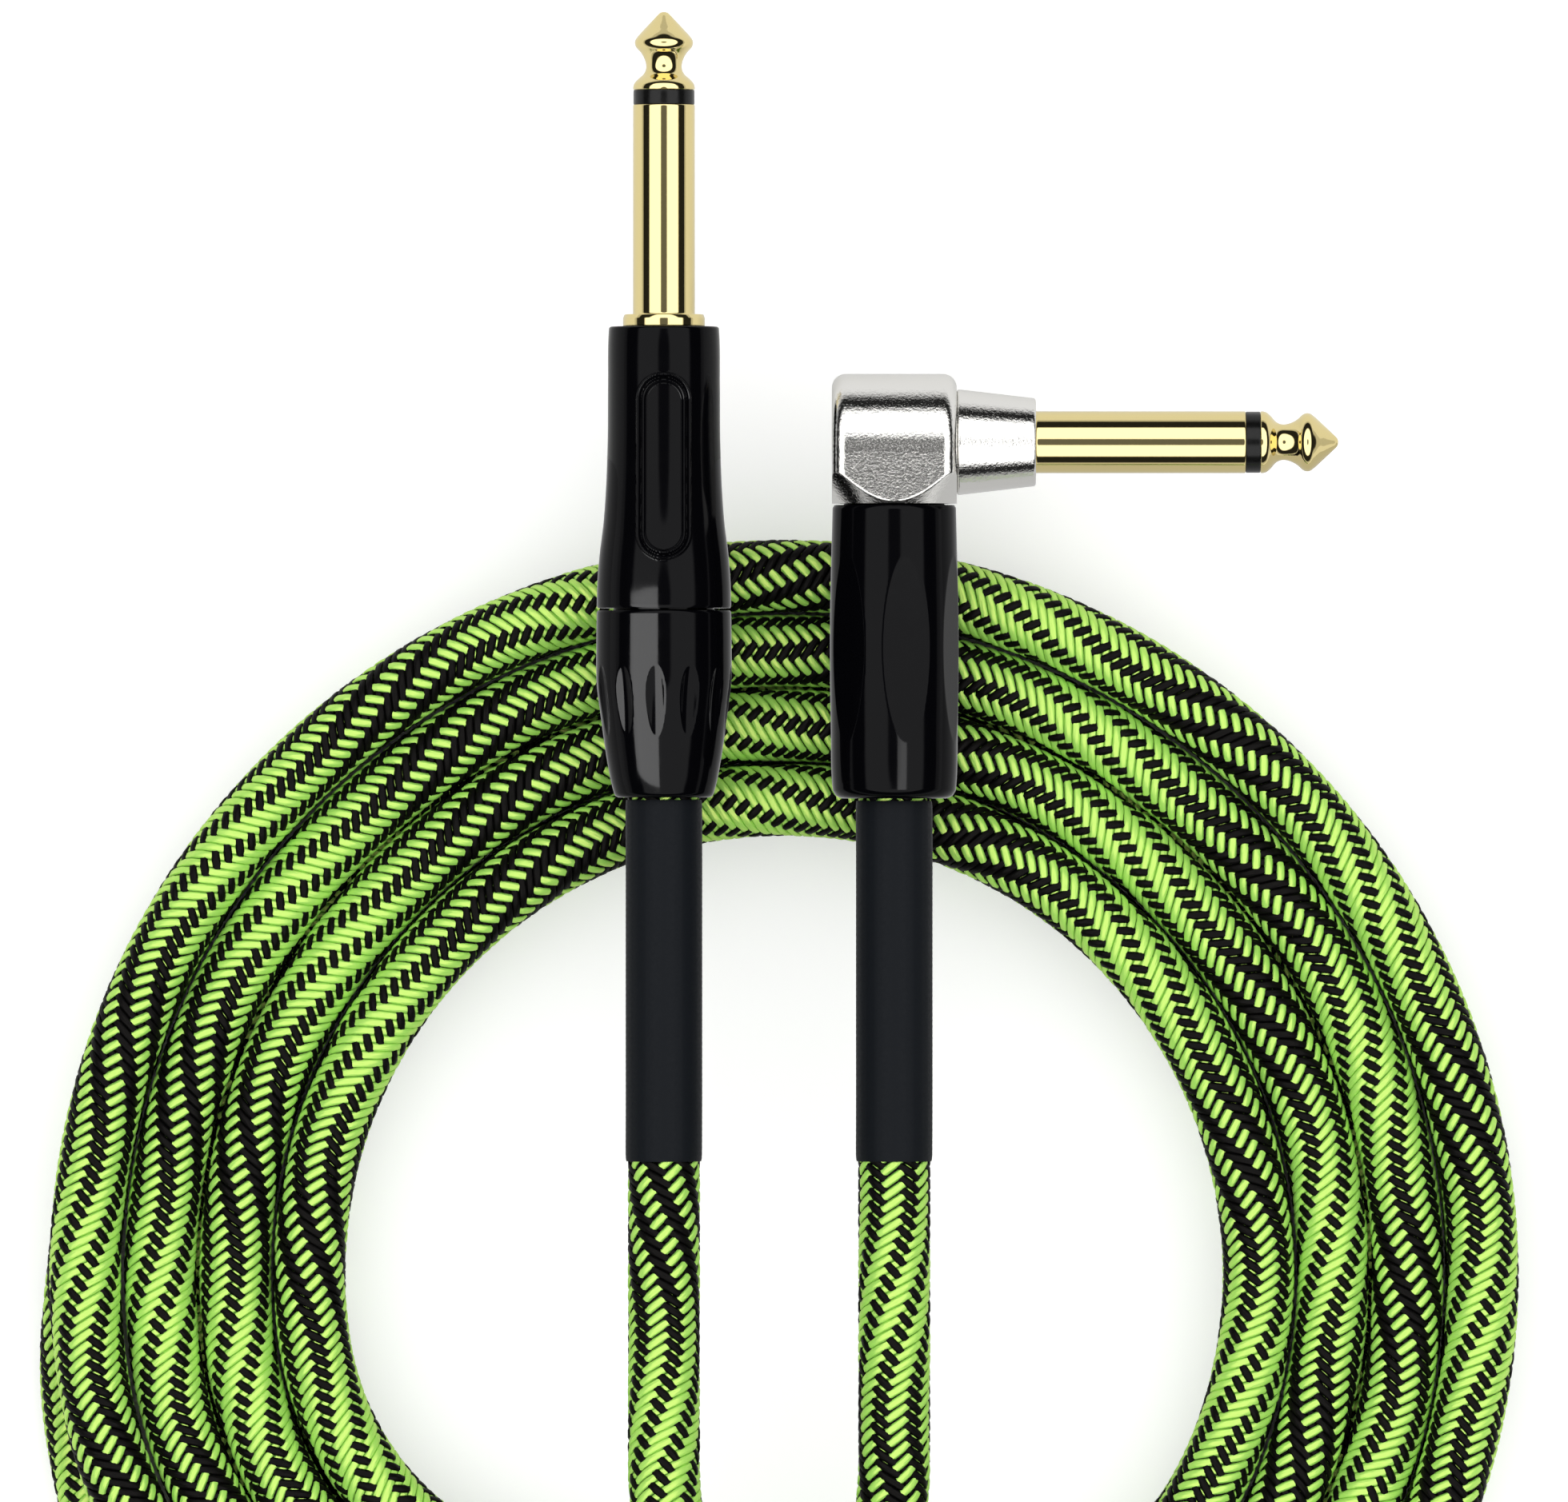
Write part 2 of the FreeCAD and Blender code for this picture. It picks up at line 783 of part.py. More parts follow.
def make_elbow():
    """The cast corner: an arch over the finger's axis, coned below to meet the round barrel."""
    axis_x, axis_y, axis_z = ANGLED_CORNER
    left = f"{axis_x} - Sizes.elbow_width / 2"
    back_y = f"{axis_y} - Sizes.elbow_drop"
    depth = "Sizes.elbow_half_depth"
    level = FreeCAD.Rotation(FreeCAD.Vector(0, 1, 0), 90)
    top = cylinder("elbow_top", depth, "Sizes.elbow_width", level, left, axis_y, axis_z)
    lower = block(
        "elbow_lower",
        "Sizes.elbow_width",
        "Sizes.elbow_drop",
        f"2 * {depth}",
        ALONG_X,
        left,
        back_y,
        f"{axis_z} - {depth}",
    )
    arch = fused("elbow_arch", [top, lower])
    doc.recompute()
    rounded = doc.addObject("Part::Fillet", "elbow_rounded")
    rounded.Base = arch
    radius = sheet.get("elbow_round")
    rounded.Edges = [(i, radius, radius) for i in end_face_edges(arch.Shape)]

    cone = doc.addObject("Part::Cone", "elbow_cone")
    bind(
        cone,
        Radius1="Sizes.elbow_cone_radius",
        Radius2="Sizes.elbow_cone_top_radius",
        Height="Sizes.elbow_cone_height",
    )
    forward = FreeCAD.Rotation(FreeCAD.Vector(1, 0, 0), -90)
    place(cone, forward, axis_x, back_y, axis_z)
    above = cylinder(
        "elbow_above",
        "Sizes.elbow_cone_top_radius",
        "Sizes.elbow_drop + 2 * Sizes.elbow_half_depth",
        forward,
        axis_x,
        f"{back_y} + Sizes.elbow_cone_height",
        axis_z,
    )
    outside = common("elbow_outside", [rounded, fused("elbow_limit", [cone, above])])

    thread = cylinder(
        "elbow_thread",
        "Sizes.thread_bore_radius",
        "Sizes.angled_thread_depth",
        forward,
        axis_x,
        back_y,
        axis_z,
    )
    half = "Sizes.elbow_cavity_half"
    reach = "Sizes.elbow_cavity_reach"
    inner_right = "(Sizes.elbow_width / 2 - Sizes.elbow_wall)"
    cavity = block(
        "elbow_cavity",
        f"{reach} + {inner_right}",
        f"Sizes.elbow_drop - Sizes.angled_thread_depth + {half}",
        f"2 * {half}",
        ALONG_X,
        f"{axis_x} - {reach}",
        f"{back_y} + Sizes.angled_thread_depth",
        f"{axis_z} - {half}",
    )
    bore = cylinder(
        "elbow_bore",
        "Sizes.stem_radius",
        "Sizes.elbow_wall + Sizes.cutter_overrun",
        level,
        f"{axis_x} + {inner_right}",
        axis_y,
        axis_z,
    )
    hollow = fused("elbow_hollow", [thread, cavity, bore])
    keep(cut("angled_elbow", outside, hollow), "angled_elbow")


def end_face_edges(shape):
    """Numbers of the edges around the two flat ends of the arch, but not along its open bottom."""
    box = shape.BoundBox
    found = []
    for i, edge in enumerate(shape.Edges, start=1):
        near = edge.BoundBox
        on_end = near.XLength < 0.01 and (
            abs(near.XMin - box.XMin) < 0.01 or abs(near.XMin - box.XMax) < 0.01
        )
        at_bottom = near.YMax < box.YMin + 0.01
        if on_end and not at_bottom:
            found.append(i)
    return found


def make_angled_lugs():
    """The two flat lugs on the finger's end, whose tongues hang into the barrel."""
    axis_x, axis_y, axis_z = ANGLED_CORNER
    stem_end = "finger_length + nose_length + elbow_wall"
    ground_end = f"{stem_end} + lug_thickness"
    tip_start = f"{ground_end} + angled_washer"
    tip_end = f"{tip_start} + lug_thickness"
    lugs = (
        (
            "ground",
            stem_end,
            ground_end,
            "insulator_radius",
            "angled_ground_lug_radius",
            "ground_tongue_width",
            "angled_ground_tongue_end",
        ),
        (
            "tip",
            tip_start,
            tip_end,
            "rod_radius",
            "tip_lug_radius",
            "tip_tongue_width",
            "angled_tip_tongue_end",
        ),
    )
    for kind, start, end, bore, radius, width, tongue_end in lugs:
        lug_ring = ring(
            f"angled_{kind}_ring", start, end, bore, radius, TO_ANGLED_BODY, ANGLED_TIP
        )
        tongue = block(
            f"angled_{kind}_tongue",
            "Sizes.lug_thickness",
            f"Sizes.{tongue_end} - (Sizes.{bore} + Sizes.{radius}) / 2",
            f"Sizes.{width}",
            ALONG_X,
            f"Sizes.angled_tip_x - ({bound(end)})",
            f"{axis_y} - Sizes.{tongue_end}",
            f"{axis_z} - Sizes.{width} / 2",
        )
        keep(fused(f"angled_{kind}_lug", [lug_ring, tongue]), f"angled_{kind}_lug")


def make_barrel():
    """The long nut of the right-angle plug, with six finger flats around its swell."""
    body = "elbow_drop + barrel_seam"
    cone = "angled_chuck_start + angled_chuck_length"
    blank = turned(
        "angled_barrel_blank",
        [
            ("elbow_drop - angled_thread_length", "closer_bore_radius"),
            ("elbow_drop - angled_thread_length", "thread_radius"),
            (body, "thread_radius"),
            (body, "barrel_front_radius"),
            (f"{body} + barrel_middle", "barrel_middle_radius"),
            ("barrel_end - barrel_edge", "barrel_back_radius"),
            ("barrel_end", "barrel_end_radius"),
            ("barrel_end", "closer_end_bore_radius"),
            (cone, "closer_end_bore_radius"),
            (f"{cone} - chuck_cone_length", "closer_bore_radius"),
        ],
        TO_STRAIGHT_CABLE,
        ANGLED_CORNER,
    )
    flats = cutters_around(
        "flat",
        make_flat,
        ANGLED_CORNER,
        f"({bound(body)} + Sizes.barrel_middle)",
        "(Sizes.barrel_middle_radius - Sizes.flat_depth)",
        sheet.get("flat_turn"),
    )
    keep(cut("angled_barrel", blank, flats), "angled_barrel")


def make_angled_plug():
    make_finger(
        "angled", "nose_length + elbow_wall", "angled_washer", TO_ANGLED_BODY, ANGLED_TIP
    )
    make_angled_sleeve()
    make_nose()
    make_elbow()
    make_angled_lugs()
    make_barrel()
    make_chuck(
        "angled", "angled_chuck_start", "angled_chuck_length", TO_STRAIGHT_CABLE, ANGLED_CORNER
    )
    make_cable_end(
        "angled",
        (
            "angled_jacket_start",
            "angled_core_start",
            "angled_conductor_start",
            "Sizes.angled_tail_start",
        ),
        "Sizes.angled_jacket_start - Sizes.angled_tail_start",
        (1, 0),
        TO_STRAIGHT_CABLE,
        ANGLED_CORNER,
    )
    make_heatshrink("angled", "Sizes.barrel_end", ANGLED_CORNER)


# ---------------------------------------------------------------- the cable

def make_coil():
    """The outer shape of the coiled turns, as one closed ring."""
    body = ring(
        "cable_coil",
        "0",
        "coil_height",
        "coil_inner_radius",
        "coil_outer_radius",
        UPRIGHT,
        COIL_CENTRE,
    )
    doc.recompute()
    edges = [f"Edge{i + 1}" for i, edge in enumerate(body.Shape.Edges) if len(edge.Vertexes) == 1]
    rounding = body.newObject("PartDesign::Fillet", "coil_rounding")
    rounding.Base = (body.Group[-2], edges)
    bind(rounding, Radius="Sizes.cable_radius - 0.1")
    return keep(body, "cable_coil")


def rounded_route(points, name):
    """Straight runs joined by tangent arcs, each as large as its two runs allow."""
    corners = [FreeCAD.Vector(*point) for point in points]
    edges = []
    start = corners[0]
    for before, corner, after in zip(corners, corners[1:], corners[2:]):
        back = before - corner
        ahead = after - corner
        trim = ARC_SHARE * min(back.Length, ahead.Length)
        half_turn = (math.pi - back.getAngle(ahead)) / 2
        radius = trim / math.tan(half_turn)
        back.normalize()
        ahead.normalize()
        arc_start = corner + back * trim
        arc_end = corner + ahead * trim
        inward = back + ahead
        inward.normalize()
        centre = corner + inward * (radius / math.cos(half_turn))
        arc_middle = centre - inward * radius
        edges.append(Part.LineSegment(start, arc_start).toShape())
        edges.append(Part.Arc(arc_start, arc_middle, arc_end).toShape())
        print(f"{name}: turn {math.degrees(2 * half_turn):.1f} degrees, radius {radius:.1f} mm")
        start = arc_end
    edges.append(Part.LineSegment(start, corners[-1]).toShape())
    return Part.Wire(edges)


def make_end_cable(name, route, coil):
    """One uncoiled end of the cable, cut off where it sinks into the coil."""
    path = rounded_route(route, name)
    radius = sheet.get("cable_radius")
    start = FreeCAD.Vector(*route[0])
    heading = FreeCAD.Vector(*route[1]) - start
    section = Part.Wire(Part.makeCircle(radius, start, heading))
    tube = path.makePipeShell([section], True, False)
    expected = math.pi * radius**2 * path.Length
    print(f"{name}: volume {tube.Volume:.1f}, section x length {expected:.1f} mm3")
    if abs(tube.Volume / expected - 1) > 0.01:
        raise RuntimeError(f"{name}: the tube's volume is wrong")
    whole = doc.addObject("Part::Feature", name + "_whole")
    whole.Shape = tube
    keep(cut(name, whole, coil), name)


# ---------------------------------------------------------------- build, check and write

def check_document():
    for thing in doc.Objects:
        if "Invalid" in thing.State or "Error" in thing.State:
            raise RuntimeError(f"{thing.Name} failed: {thing.State}")
    for node in nodes:
        shape = node.Shape
        if shape.isNull() or not shape.isValid() or len(shape.Solids) != 1:
            raise RuntimeError(f"{node.Label} isn't one valid solid")


def write_nodes():
    os.makedirs("parts", exist_ok=True)
    for node in nodes:
        node.Shape.exportStep(f"parts/{node.Label}.step")
    print(f"{len(nodes)} nodes written")


make_straight_plug()
make_angled_plug()
coil_body = make_coil()
make_end_cable("straight_end_cable", STRAIGHT_END_ROUTE, coil_body)
make_end_cable("angled_end_cable", ANGLED_END_ROUTE, coil_body)
doc.recompute()
check_document()
write_nodes()
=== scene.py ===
import math

import bpy
import numpy as np
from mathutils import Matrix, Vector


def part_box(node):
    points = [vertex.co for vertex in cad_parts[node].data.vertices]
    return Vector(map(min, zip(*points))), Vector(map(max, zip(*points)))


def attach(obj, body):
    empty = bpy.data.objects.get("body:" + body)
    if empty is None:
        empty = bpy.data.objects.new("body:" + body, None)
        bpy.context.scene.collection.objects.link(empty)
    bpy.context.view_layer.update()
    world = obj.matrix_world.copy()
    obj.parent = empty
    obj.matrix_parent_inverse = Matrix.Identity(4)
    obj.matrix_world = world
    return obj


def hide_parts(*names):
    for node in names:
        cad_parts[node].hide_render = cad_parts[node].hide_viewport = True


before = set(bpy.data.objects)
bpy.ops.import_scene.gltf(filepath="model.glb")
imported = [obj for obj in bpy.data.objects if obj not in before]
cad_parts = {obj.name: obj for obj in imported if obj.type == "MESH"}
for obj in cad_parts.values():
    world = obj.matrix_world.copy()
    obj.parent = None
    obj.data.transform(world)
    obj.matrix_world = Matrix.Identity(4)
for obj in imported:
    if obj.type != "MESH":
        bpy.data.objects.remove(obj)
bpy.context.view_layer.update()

# Sizes here are in millimetres, and Blender's are in metres
MM = 0.001

# ---------------------------------------------------------------- places, from the frame

X, Y, Z = 0, 1, 2


def span(node, axis):
    """A CAD node's lowest and highest place along an axis, in millimetres."""
    lowest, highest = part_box(node)
    return round(lowest[axis] / MM, 3), round(highest[axis] / MM, 3)


def middle(node, axis):
    """The middle of a CAD node's box along an axis."""
    low, high = span(node, axis)
    return round((low + high) / 2, 3)


# The straight plug, both nuts and both sleeves lie along Y, and the angled finger along X
TO_CABLE = (0, -1, 0)
FROM_FINGER = (-1, 0, 0)
STRAIGHT_X = middle("straight_tip", X)
STRAIGHT_Z = middle("straight_tip", Z)
STRAIGHT_APEX = (STRAIGHT_X, span("straight_tip", Y)[1], STRAIGHT_Z)
ANGLED_X = middle("angled_elbow", X)
ANGLED_Z = middle("angled_tip", Z)
ANGLED_FINGER_Y = middle("angled_tip", Y)
ANGLED_APEX = (span("angled_tip", X)[1], ANGLED_FINGER_Y, ANGLED_Z)
ANGLED_CORNER = (ANGLED_X, ANGLED_FINGER_Y, ANGLED_Z)

# Each finger as the apex of its tip, the direction back from there, and the axis of that
FINGERS = {
    "straight": (STRAIGHT_APEX, TO_CABLE, Y),
    "angled": (ANGLED_APEX, FROM_FINGER, X),
}


def front_of(side, piece):
    """How far the front of one of a plug's nodes is behind the apex of its tip."""
    apex, _, axis = FINGERS[side]
    return round(apex[axis] - span(f"{side}_{piece}", axis)[1], 3)


def back_of(side, piece):
    """How far the back of one of a plug's nodes is behind the apex of its tip."""
    apex, _, axis = FINGERS[side]
    return round(apex[axis] - span(f"{side}_{piece}", axis)[0], 3)


COIL_CENTRE_Y = middle("cable_coil", Y)
COIL_TOP = span("cable_coil", Z)[1]

# ---------------------------------------------------------------- sizes, in millimetres

# The finger: the same on both plugs, as (distance from the apex, radius) where it is a list
TIP_LENGTH = front_of("straight", "tip_insulator")
RING_END = front_of("straight", "sleeve")
FINGER_LENGTH = front_of("angled", "nose")
PLUG_RADIUS = span("straight_tip", X)[1] - STRAIGHT_X
TIP_POINT = [(0.0, 0.05), (0.03, 0.25), (0.13, 0.46)]
TIP_STATIONS = [
    (0.35, 0.68),
    (1.6, 1.86),
    (2.5, 2.68),
    (2.85, 2.93),
    (3.2, 3.0),
    (3.6, 2.88),
    (4.2, 2.36),
    (4.9, 1.98),
    (5.5, 1.84),
    (5.9, 1.87),
    (6.4, 2.12),
    (6.9, 2.68),
    (7.35, 3.07),
    (7.7, PLUG_RADIUS),
]
TIP_EDGE = 0.08
ROD_RADIUS = 1.2
RIVET_RADIUS = 1.6
RIVET_HEIGHT = 0.6
INSULATOR_RADIUS = 2.2
INSULATOR_INSET = 0.03
INSULATOR_GAP = 0.02
STEM_RADIUS = 3.5
COLLAR_RADIUS = 4.2
COLLAR_STEP_RADIUS = 4.05
COLLAR_STEP = 0.4
COLLAR_WIDTH = 1.25

# The straight plug's shell and its blank badge, as ridges of (height, inset, half width)
SHELL_START = front_of("straight", "shell")
SHELL_END = back_of("straight", "shell")
SHELL_STATIONS = [
    (SHELL_START + 0.18, 5.64),
    (SHELL_START + 0.8, 5.68),
    (38.0, 5.74),
    (44.0, 5.78),
    (49.0, 5.96),
    (52.0, 6.17),
    (56.0, 6.64),
    (58.5, 6.82),
    (SHELL_END - 0.25, 6.88),
]
SHELL_MOUTH = [(SHELL_START, STEM_RADIUS), (SHELL_START, 5.42), (SHELL_START + 0.05, 5.55)]
SHELL_INSIDE = [
    (SHELL_END, 6.8),
    (SHELL_END, 5.5),
    (56.8, 5.5),
    (56.8, 5.0),
    (39.0, 5.0),
    (39.0, STEM_RADIUS),
]
BADGE_MIDDLE = 46.6
BADGE_LENGTH = 19.3
BADGE_WIDTH = 5.9
BADGE_RIDGES = [(0.25, 0.22, 0.26), (0.20, 0.82, 0.24), (-0.10, 0.52, 0.16)]
BADGE_FLOOR_DEPTH = 0.16
BADGE_FLOOR_INSET = 1.05
BADGE_FLOOR_SLOPE = 0.22
BADGE_REACH = math.radians(36)

# The threads and bores that the bushing and the barrel share
THREAD_PITCH = 1.0
THREAD_ROOT = 5.12
THREAD_CREST = 5.45
THREAD_NECK = 5.3
THREAD_RUNOUT = 0.1
ROWS_PER_PITCH = 12
CLOSER_BORE = 4.6
CLOSER_END_BORE = 4.2
CHUCK_CONE_LENGTH = 6.0
CLOSER_COLUMNS = 288

# The bushing: distances from the apex, and twelve hollows where an ellipsoid cuts it
BUSHING_THREAD_START = front_of("straight", "bushing")
BUSHING_START = SHELL_END + 0.25
BUSHING_END = back_of("straight", "bushing")
BUSHING_SHOULDER_RADIUS = 6.76
BUSHING_CONE_START = 64.0
BUSHING_STATIONS = [
    (BUSHING_START + 0.2, 6.88),
    (65.0, 6.92),
    (69.0, 6.88),
    (72.2, 6.47),
    (76.75, 5.82),
    (79.3, 5.32),
    (80.1, 5.1),
]
BUSHING_REAR = [(BUSHING_END - 0.12, 4.95), (BUSHING_END, 4.65)]
HOLLOW_COUNT = 12
HOLLOW_TURN = math.radians(-7.0)
HOLLOW_PLACE = BUSHING_START + 12.9
HOLLOW_HALF_LENGTH = 9.5
HOLLOW_HALF_DEPTH = 2.05
HOLLOW_CENTRE_RADIUS = 8.25

# The nickel nose and elbow
NOSE_END = back_of("angled", "nose")
NOSE_FRONT_RADIUS = 4.5
NOSE_BACK_RADIUS = 5.45
ELBOW_WIDTH = span("angled_elbow", X)[1] - span("angled_elbow", X)[0]
ELBOW_HALF_DEPTH = span("angled_elbow", Z)[1] - ANGLED_Z
ELBOW_DROP = ANGLED_FINGER_Y - span("angled_elbow", Y)[0]
ELBOW_ROUND = 1.4
ELBOW_CONE_RADIUS = 6.6
ELBOW_CONE_SLOPE = 0.727
ELBOW_THREAD_RADIUS = 5.5
ELBOW_THREAD_DEPTH = 2.55
ELBOW_THREAD_EDGE = 0.2
ELBOW_CAVITY_HALF = 3.6
SHIELD_LEDGE = 1.0
SHIELD_TILT = math.radians(2.4)

# The barrel: distances from the elbow's corner, and six scooped flats
BARREL_THREAD_START = ANGLED_FINGER_Y - span("angled_barrel", Y)[1]
BARREL_START = ELBOW_DROP + 0.15
BARREL_END = ANGLED_FINGER_Y - span("angled_barrel", Y)[0]
BARREL_SHOULDER_RADIUS = 6.15
BARREL_CONE_START = 22.0
BARREL_STATIONS = [
    (BARREL_START + 0.3, 6.33),
    (12.0, 6.46),
    (20.9, 6.6),
    (29.0, 6.5),
    (35.0, 6.36),
    (35.7, 6.3),
]
BARREL_REAR = [(36.2, 6.0), (36.42, 5.65), (BARREL_END, 5.3)]
FLAT_COUNT = 6
FLAT_TURN = math.radians(10.8)
FLAT_MIDDLE = 20.95
FLAT_RADIUS = 6.13
FLAT_CURVE = 134.0

# The shrunk sleeves
SHRINK_RADIUS = 3.92
SHRINK_BORE = 3.74
SHRINK_LIP = 0.10
SHRINK_RIPPLE = 0.012
SHRINK_SLACK = 0.02

# The cable: its core, and the yarns braided over it
CORE_RADIUS = 3.34
YARN_RADIUS = 3.47
YARN_RISE = 0.11
YARN_WIDTH = 0.89
YARN_HEIGHT = 0.27
YARN_SECTION = [(-0.5, -0.15), (-0.27, 0.5), (0.27, 0.5), (0.5, -0.15), (0.0, -0.5)]
YARN_STEP = 0.42
YARN_STEPS_PER_CORE_STEP = 5
YARNS_EACH_WAY = 12
BRAID_LEAD = 15.0
TWIST_SWING = 1.0
TWIST_LENGTH = 46.0
TWIST_START = 4.0

# The coil: its turns as (radius, height of the centreline), top layer first
TURNS = [
    (71.9, 11.15),
    (64.2, 10.2),
    (56.5, 10.2),
    (48.8, 11.15),
    (49.0, 3.7),
    (60.4, 3.7),
    (71.9, 3.7),
]
TOP_TURNS = 4
INNER_DROP_RADIUS = 41.2
LIFT_OVER = 0.1
POINTS_PER_TURN = 24
SPLINE_SHRINK = 0.9915

# Where each turn shifts over to the next, as angles from the right side
SHIFT_START = 196
TOP_ACROSS = (196, 246)
TOP_DOWN = (250, 320)
TOP_LIFT = (196, 214)
TOP_SETTLE = (320, 344)
INNER_ACROSS = (196, 240)
INNER_DOWN = (222, 262)
INNER_BACK = (262, 335)
BOTTOM_ACROSS = (228, 300)

# The ends of the route, as in the CAD
STRAIGHT_END_ROUTE = [
    (-12.3, 51.5, 22.2),
    (-12.3, -15.2, 22.2),
    (-12.3, -35.0, 22.2),
    (-12.3, -57.2, 26.3),
    (2.1, -77.0, 27.2),
    (25.3, -85.0, 24.6),
    (46.9, -78.8, 18.2),
    (62.4, -63.9, 12.4),
]
ANGLED_END_ROUTE = [
    (-73.5, -40.0, 3.8),
    (-69.5, -58.0, 4.5),
    (-60.9, -74.6, 9.4),
    (-45.7, -83.4, 17.7),
    (-26.3, -85.0, 18.9),
    (-3.1, -77.0, 18.8),
    (11.3, -57.2, 19.4),
    (11.3, -35.0, 21.9),
    (11.3, -15.2, 21.9),
    (11.3, 46.5, 21.9),
]


# ---------------------------------------------------------------- materials

def link(tree, source, target):
    """Joins an output of one node to an input of another."""
    tree.links.new(source, target)


def add(tree, kind, **values):
    """A node with some of its inputs or settings given."""
    node = tree.nodes.new(kind)
    for name, value in values.items():
        if name in node.inputs:
            node.inputs[name].default_value = value
        else:
            setattr(node, name, value)
    return node


def new_material(name, colour, metallic=0.0):
    """A material with one Principled shader, and the shader and tree to build on."""
    made = bpy.data.materials.new(name)
    made.use_nodes = True
    tree = made.node_tree
    shader = tree.nodes["Principled BSDF"]
    shader.inputs["Base Color"].default_value = (*colour, 1)
    shader.inputs["Metallic"].default_value = metallic
    return made, tree, shader


def roughen(tree, shader, noise, roughness, depth):
    """The noise varies the roughness between two values and dents the normal."""
    spread = add(tree, "ShaderNodeMapRange")
    spread.inputs["From Min"].default_value = 0.3
    spread.inputs["From Max"].default_value = 0.7
    spread.inputs["To Min"].default_value = roughness[0]
    spread.inputs["To Max"].default_value = roughness[1]
    bump = add(tree, "ShaderNodeBump", Strength=1.0, Distance=depth * MM)
    link(tree, noise.outputs["Fac"], spread.inputs["Value"])
    link(tree, spread.outputs["Result"], shader.inputs["Roughness"])
    link(tree, noise.outputs["Fac"], bump.inputs["Height"])
    link(tree, bump.outputs["Normal"], shader.inputs["Normal"])


def plain_material(
    name, colour, size, roughness, depth, metallic=0.0, specular=0.5, stretch=(1, 1, 1)
):
    """One colour with a grain of a size in millimetres.  A low specular keeps black deep."""
    made, tree, shader = new_material(name, colour, metallic)
    shader.inputs["Specular IOR Level"].default_value = specular
    place = add(tree, "ShaderNodeTexCoord")
    scale = add(tree, "ShaderNodeMapping")
    scale.inputs["Scale"].default_value = stretch
    noise = add(tree, "ShaderNodeTexNoise", Scale=1 / (size * MM), Detail=3.0, Roughness=0.6)
    link(tree, place.outputs["Object"], scale.inputs["Vector"])
    link(tree, scale.outputs["Vector"], noise.inputs["Vector"])
    roughen(tree, shader, noise, roughness, depth)
    return made


def yarn_material(name, colour, ior, shine, roughness):
    """Filament yarn: streaks along the yarn, which the UV map measures in millimetres.

    The high index and the tinted shine give the satin highlight on top of a deeper colour.
    """
    made, tree, shader = new_material(name, colour)
    shader.inputs["IOR"].default_value = ior
    shader.inputs["Specular Tint"].default_value = (*shine, 1)
    place = add(tree, "ShaderNodeUVMap", uv_map="yarn")
    scale = add(tree, "ShaderNodeMapping")
    scale.inputs["Scale"].default_value = (8.0, 1.3, 1.0)
    noise = add(tree, "ShaderNodeTexNoise", Scale=1.0, Detail=2.0, Roughness=0.5)
    link(tree, place.outputs["UV"], scale.inputs["Vector"])
    link(tree, scale.outputs["Vector"], noise.inputs["Vector"])
    roughen(tree, shader, noise, roughness, depth=0.10)
    return made


gold = plain_material(
    "gold", (0.82, 0.69, 0.33), size=0.6, roughness=(0.04, 0.07), depth=0.0005, metallic=1.0
)
nickel = plain_material(
    "nickel", (0.80, 0.79, 0.76), size=0.28, roughness=(0.02, 0.07), depth=0.030, metallic=1.0
)
tinned = plain_material(
    "tinned", (0.70, 0.68, 0.64), size=0.3, roughness=(0.28, 0.45), depth=0.01, metallic=1.0
)
copper = plain_material(
    "copper",
    (0.75, 0.36, 0.20),
    size=0.12,
    roughness=(0.25, 0.4),
    depth=0.03,
    metallic=1.0,
    stretch=(1, 0.15, 1),
)
gloss_black = plain_material(
    "gloss_black",
    (0.0012, 0.0012, 0.0018),
    size=2.5,
    roughness=(0.07, 0.12),
    depth=0.003,
    specular=0.09,
)
heat_shrink = plain_material(
    "heat_shrink",
    (0.0055, 0.0070, 0.0095),
    size=0.35,
    roughness=(0.42, 0.56),
    depth=0.008,
    specular=0.10,
)
insulator = plain_material(
    "insulator",
    (0.004, 0.004, 0.004),
    size=0.4,
    roughness=(0.16, 0.26),
    depth=0.004,
    specular=0.25,
)
chuck_plastic = plain_material(
    "chuck_plastic", (0.045, 0.045, 0.05), size=0.25, roughness=(0.45, 0.60), depth=0.008
)
core_plastic = plain_material(
    "core_plastic", (0.80, 0.80, 0.76), size=0.4, roughness=(0.35, 0.5), depth=0.006
)
jacket = plain_material(
    "jacket", (0.006, 0.007, 0.006), size=0.2, roughness=(0.6, 0.8), depth=0.01
)
green_yarn = yarn_material(
    "green_yarn", (0.40, 0.86, 0.15), ior=3.0, shine=(1.0, 0.86, 0.28), roughness=(0.30, 0.46)
)
black_yarn = yarn_material(
    "black_yarn", (0.0030, 0.0028, 0.0028), ior=1.18, shine=(1.0, 0.95, 0.9), roughness=(0.3, 0.5)
)


# ---------------------------------------------------------------- meshes

def mesh_piece(name, points, faces, material, body="root", sharp=35.0):
    """A finished piece from points in millimetres."""
    mesh = bpy.data.meshes.new(name)
    mesh.from_pydata([tuple(p) for p in np.asarray(points) * MM], [], faces)
    mesh.update()
    mesh.shade_smooth()
    mesh.set_sharp_from_angle(angle=math.radians(sharp))
    mesh.materials.append(material)
    piece = bpy.data.objects.new(name, mesh)
    bpy.context.scene.collection.objects.link(piece)
    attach(piece, body)
    return piece


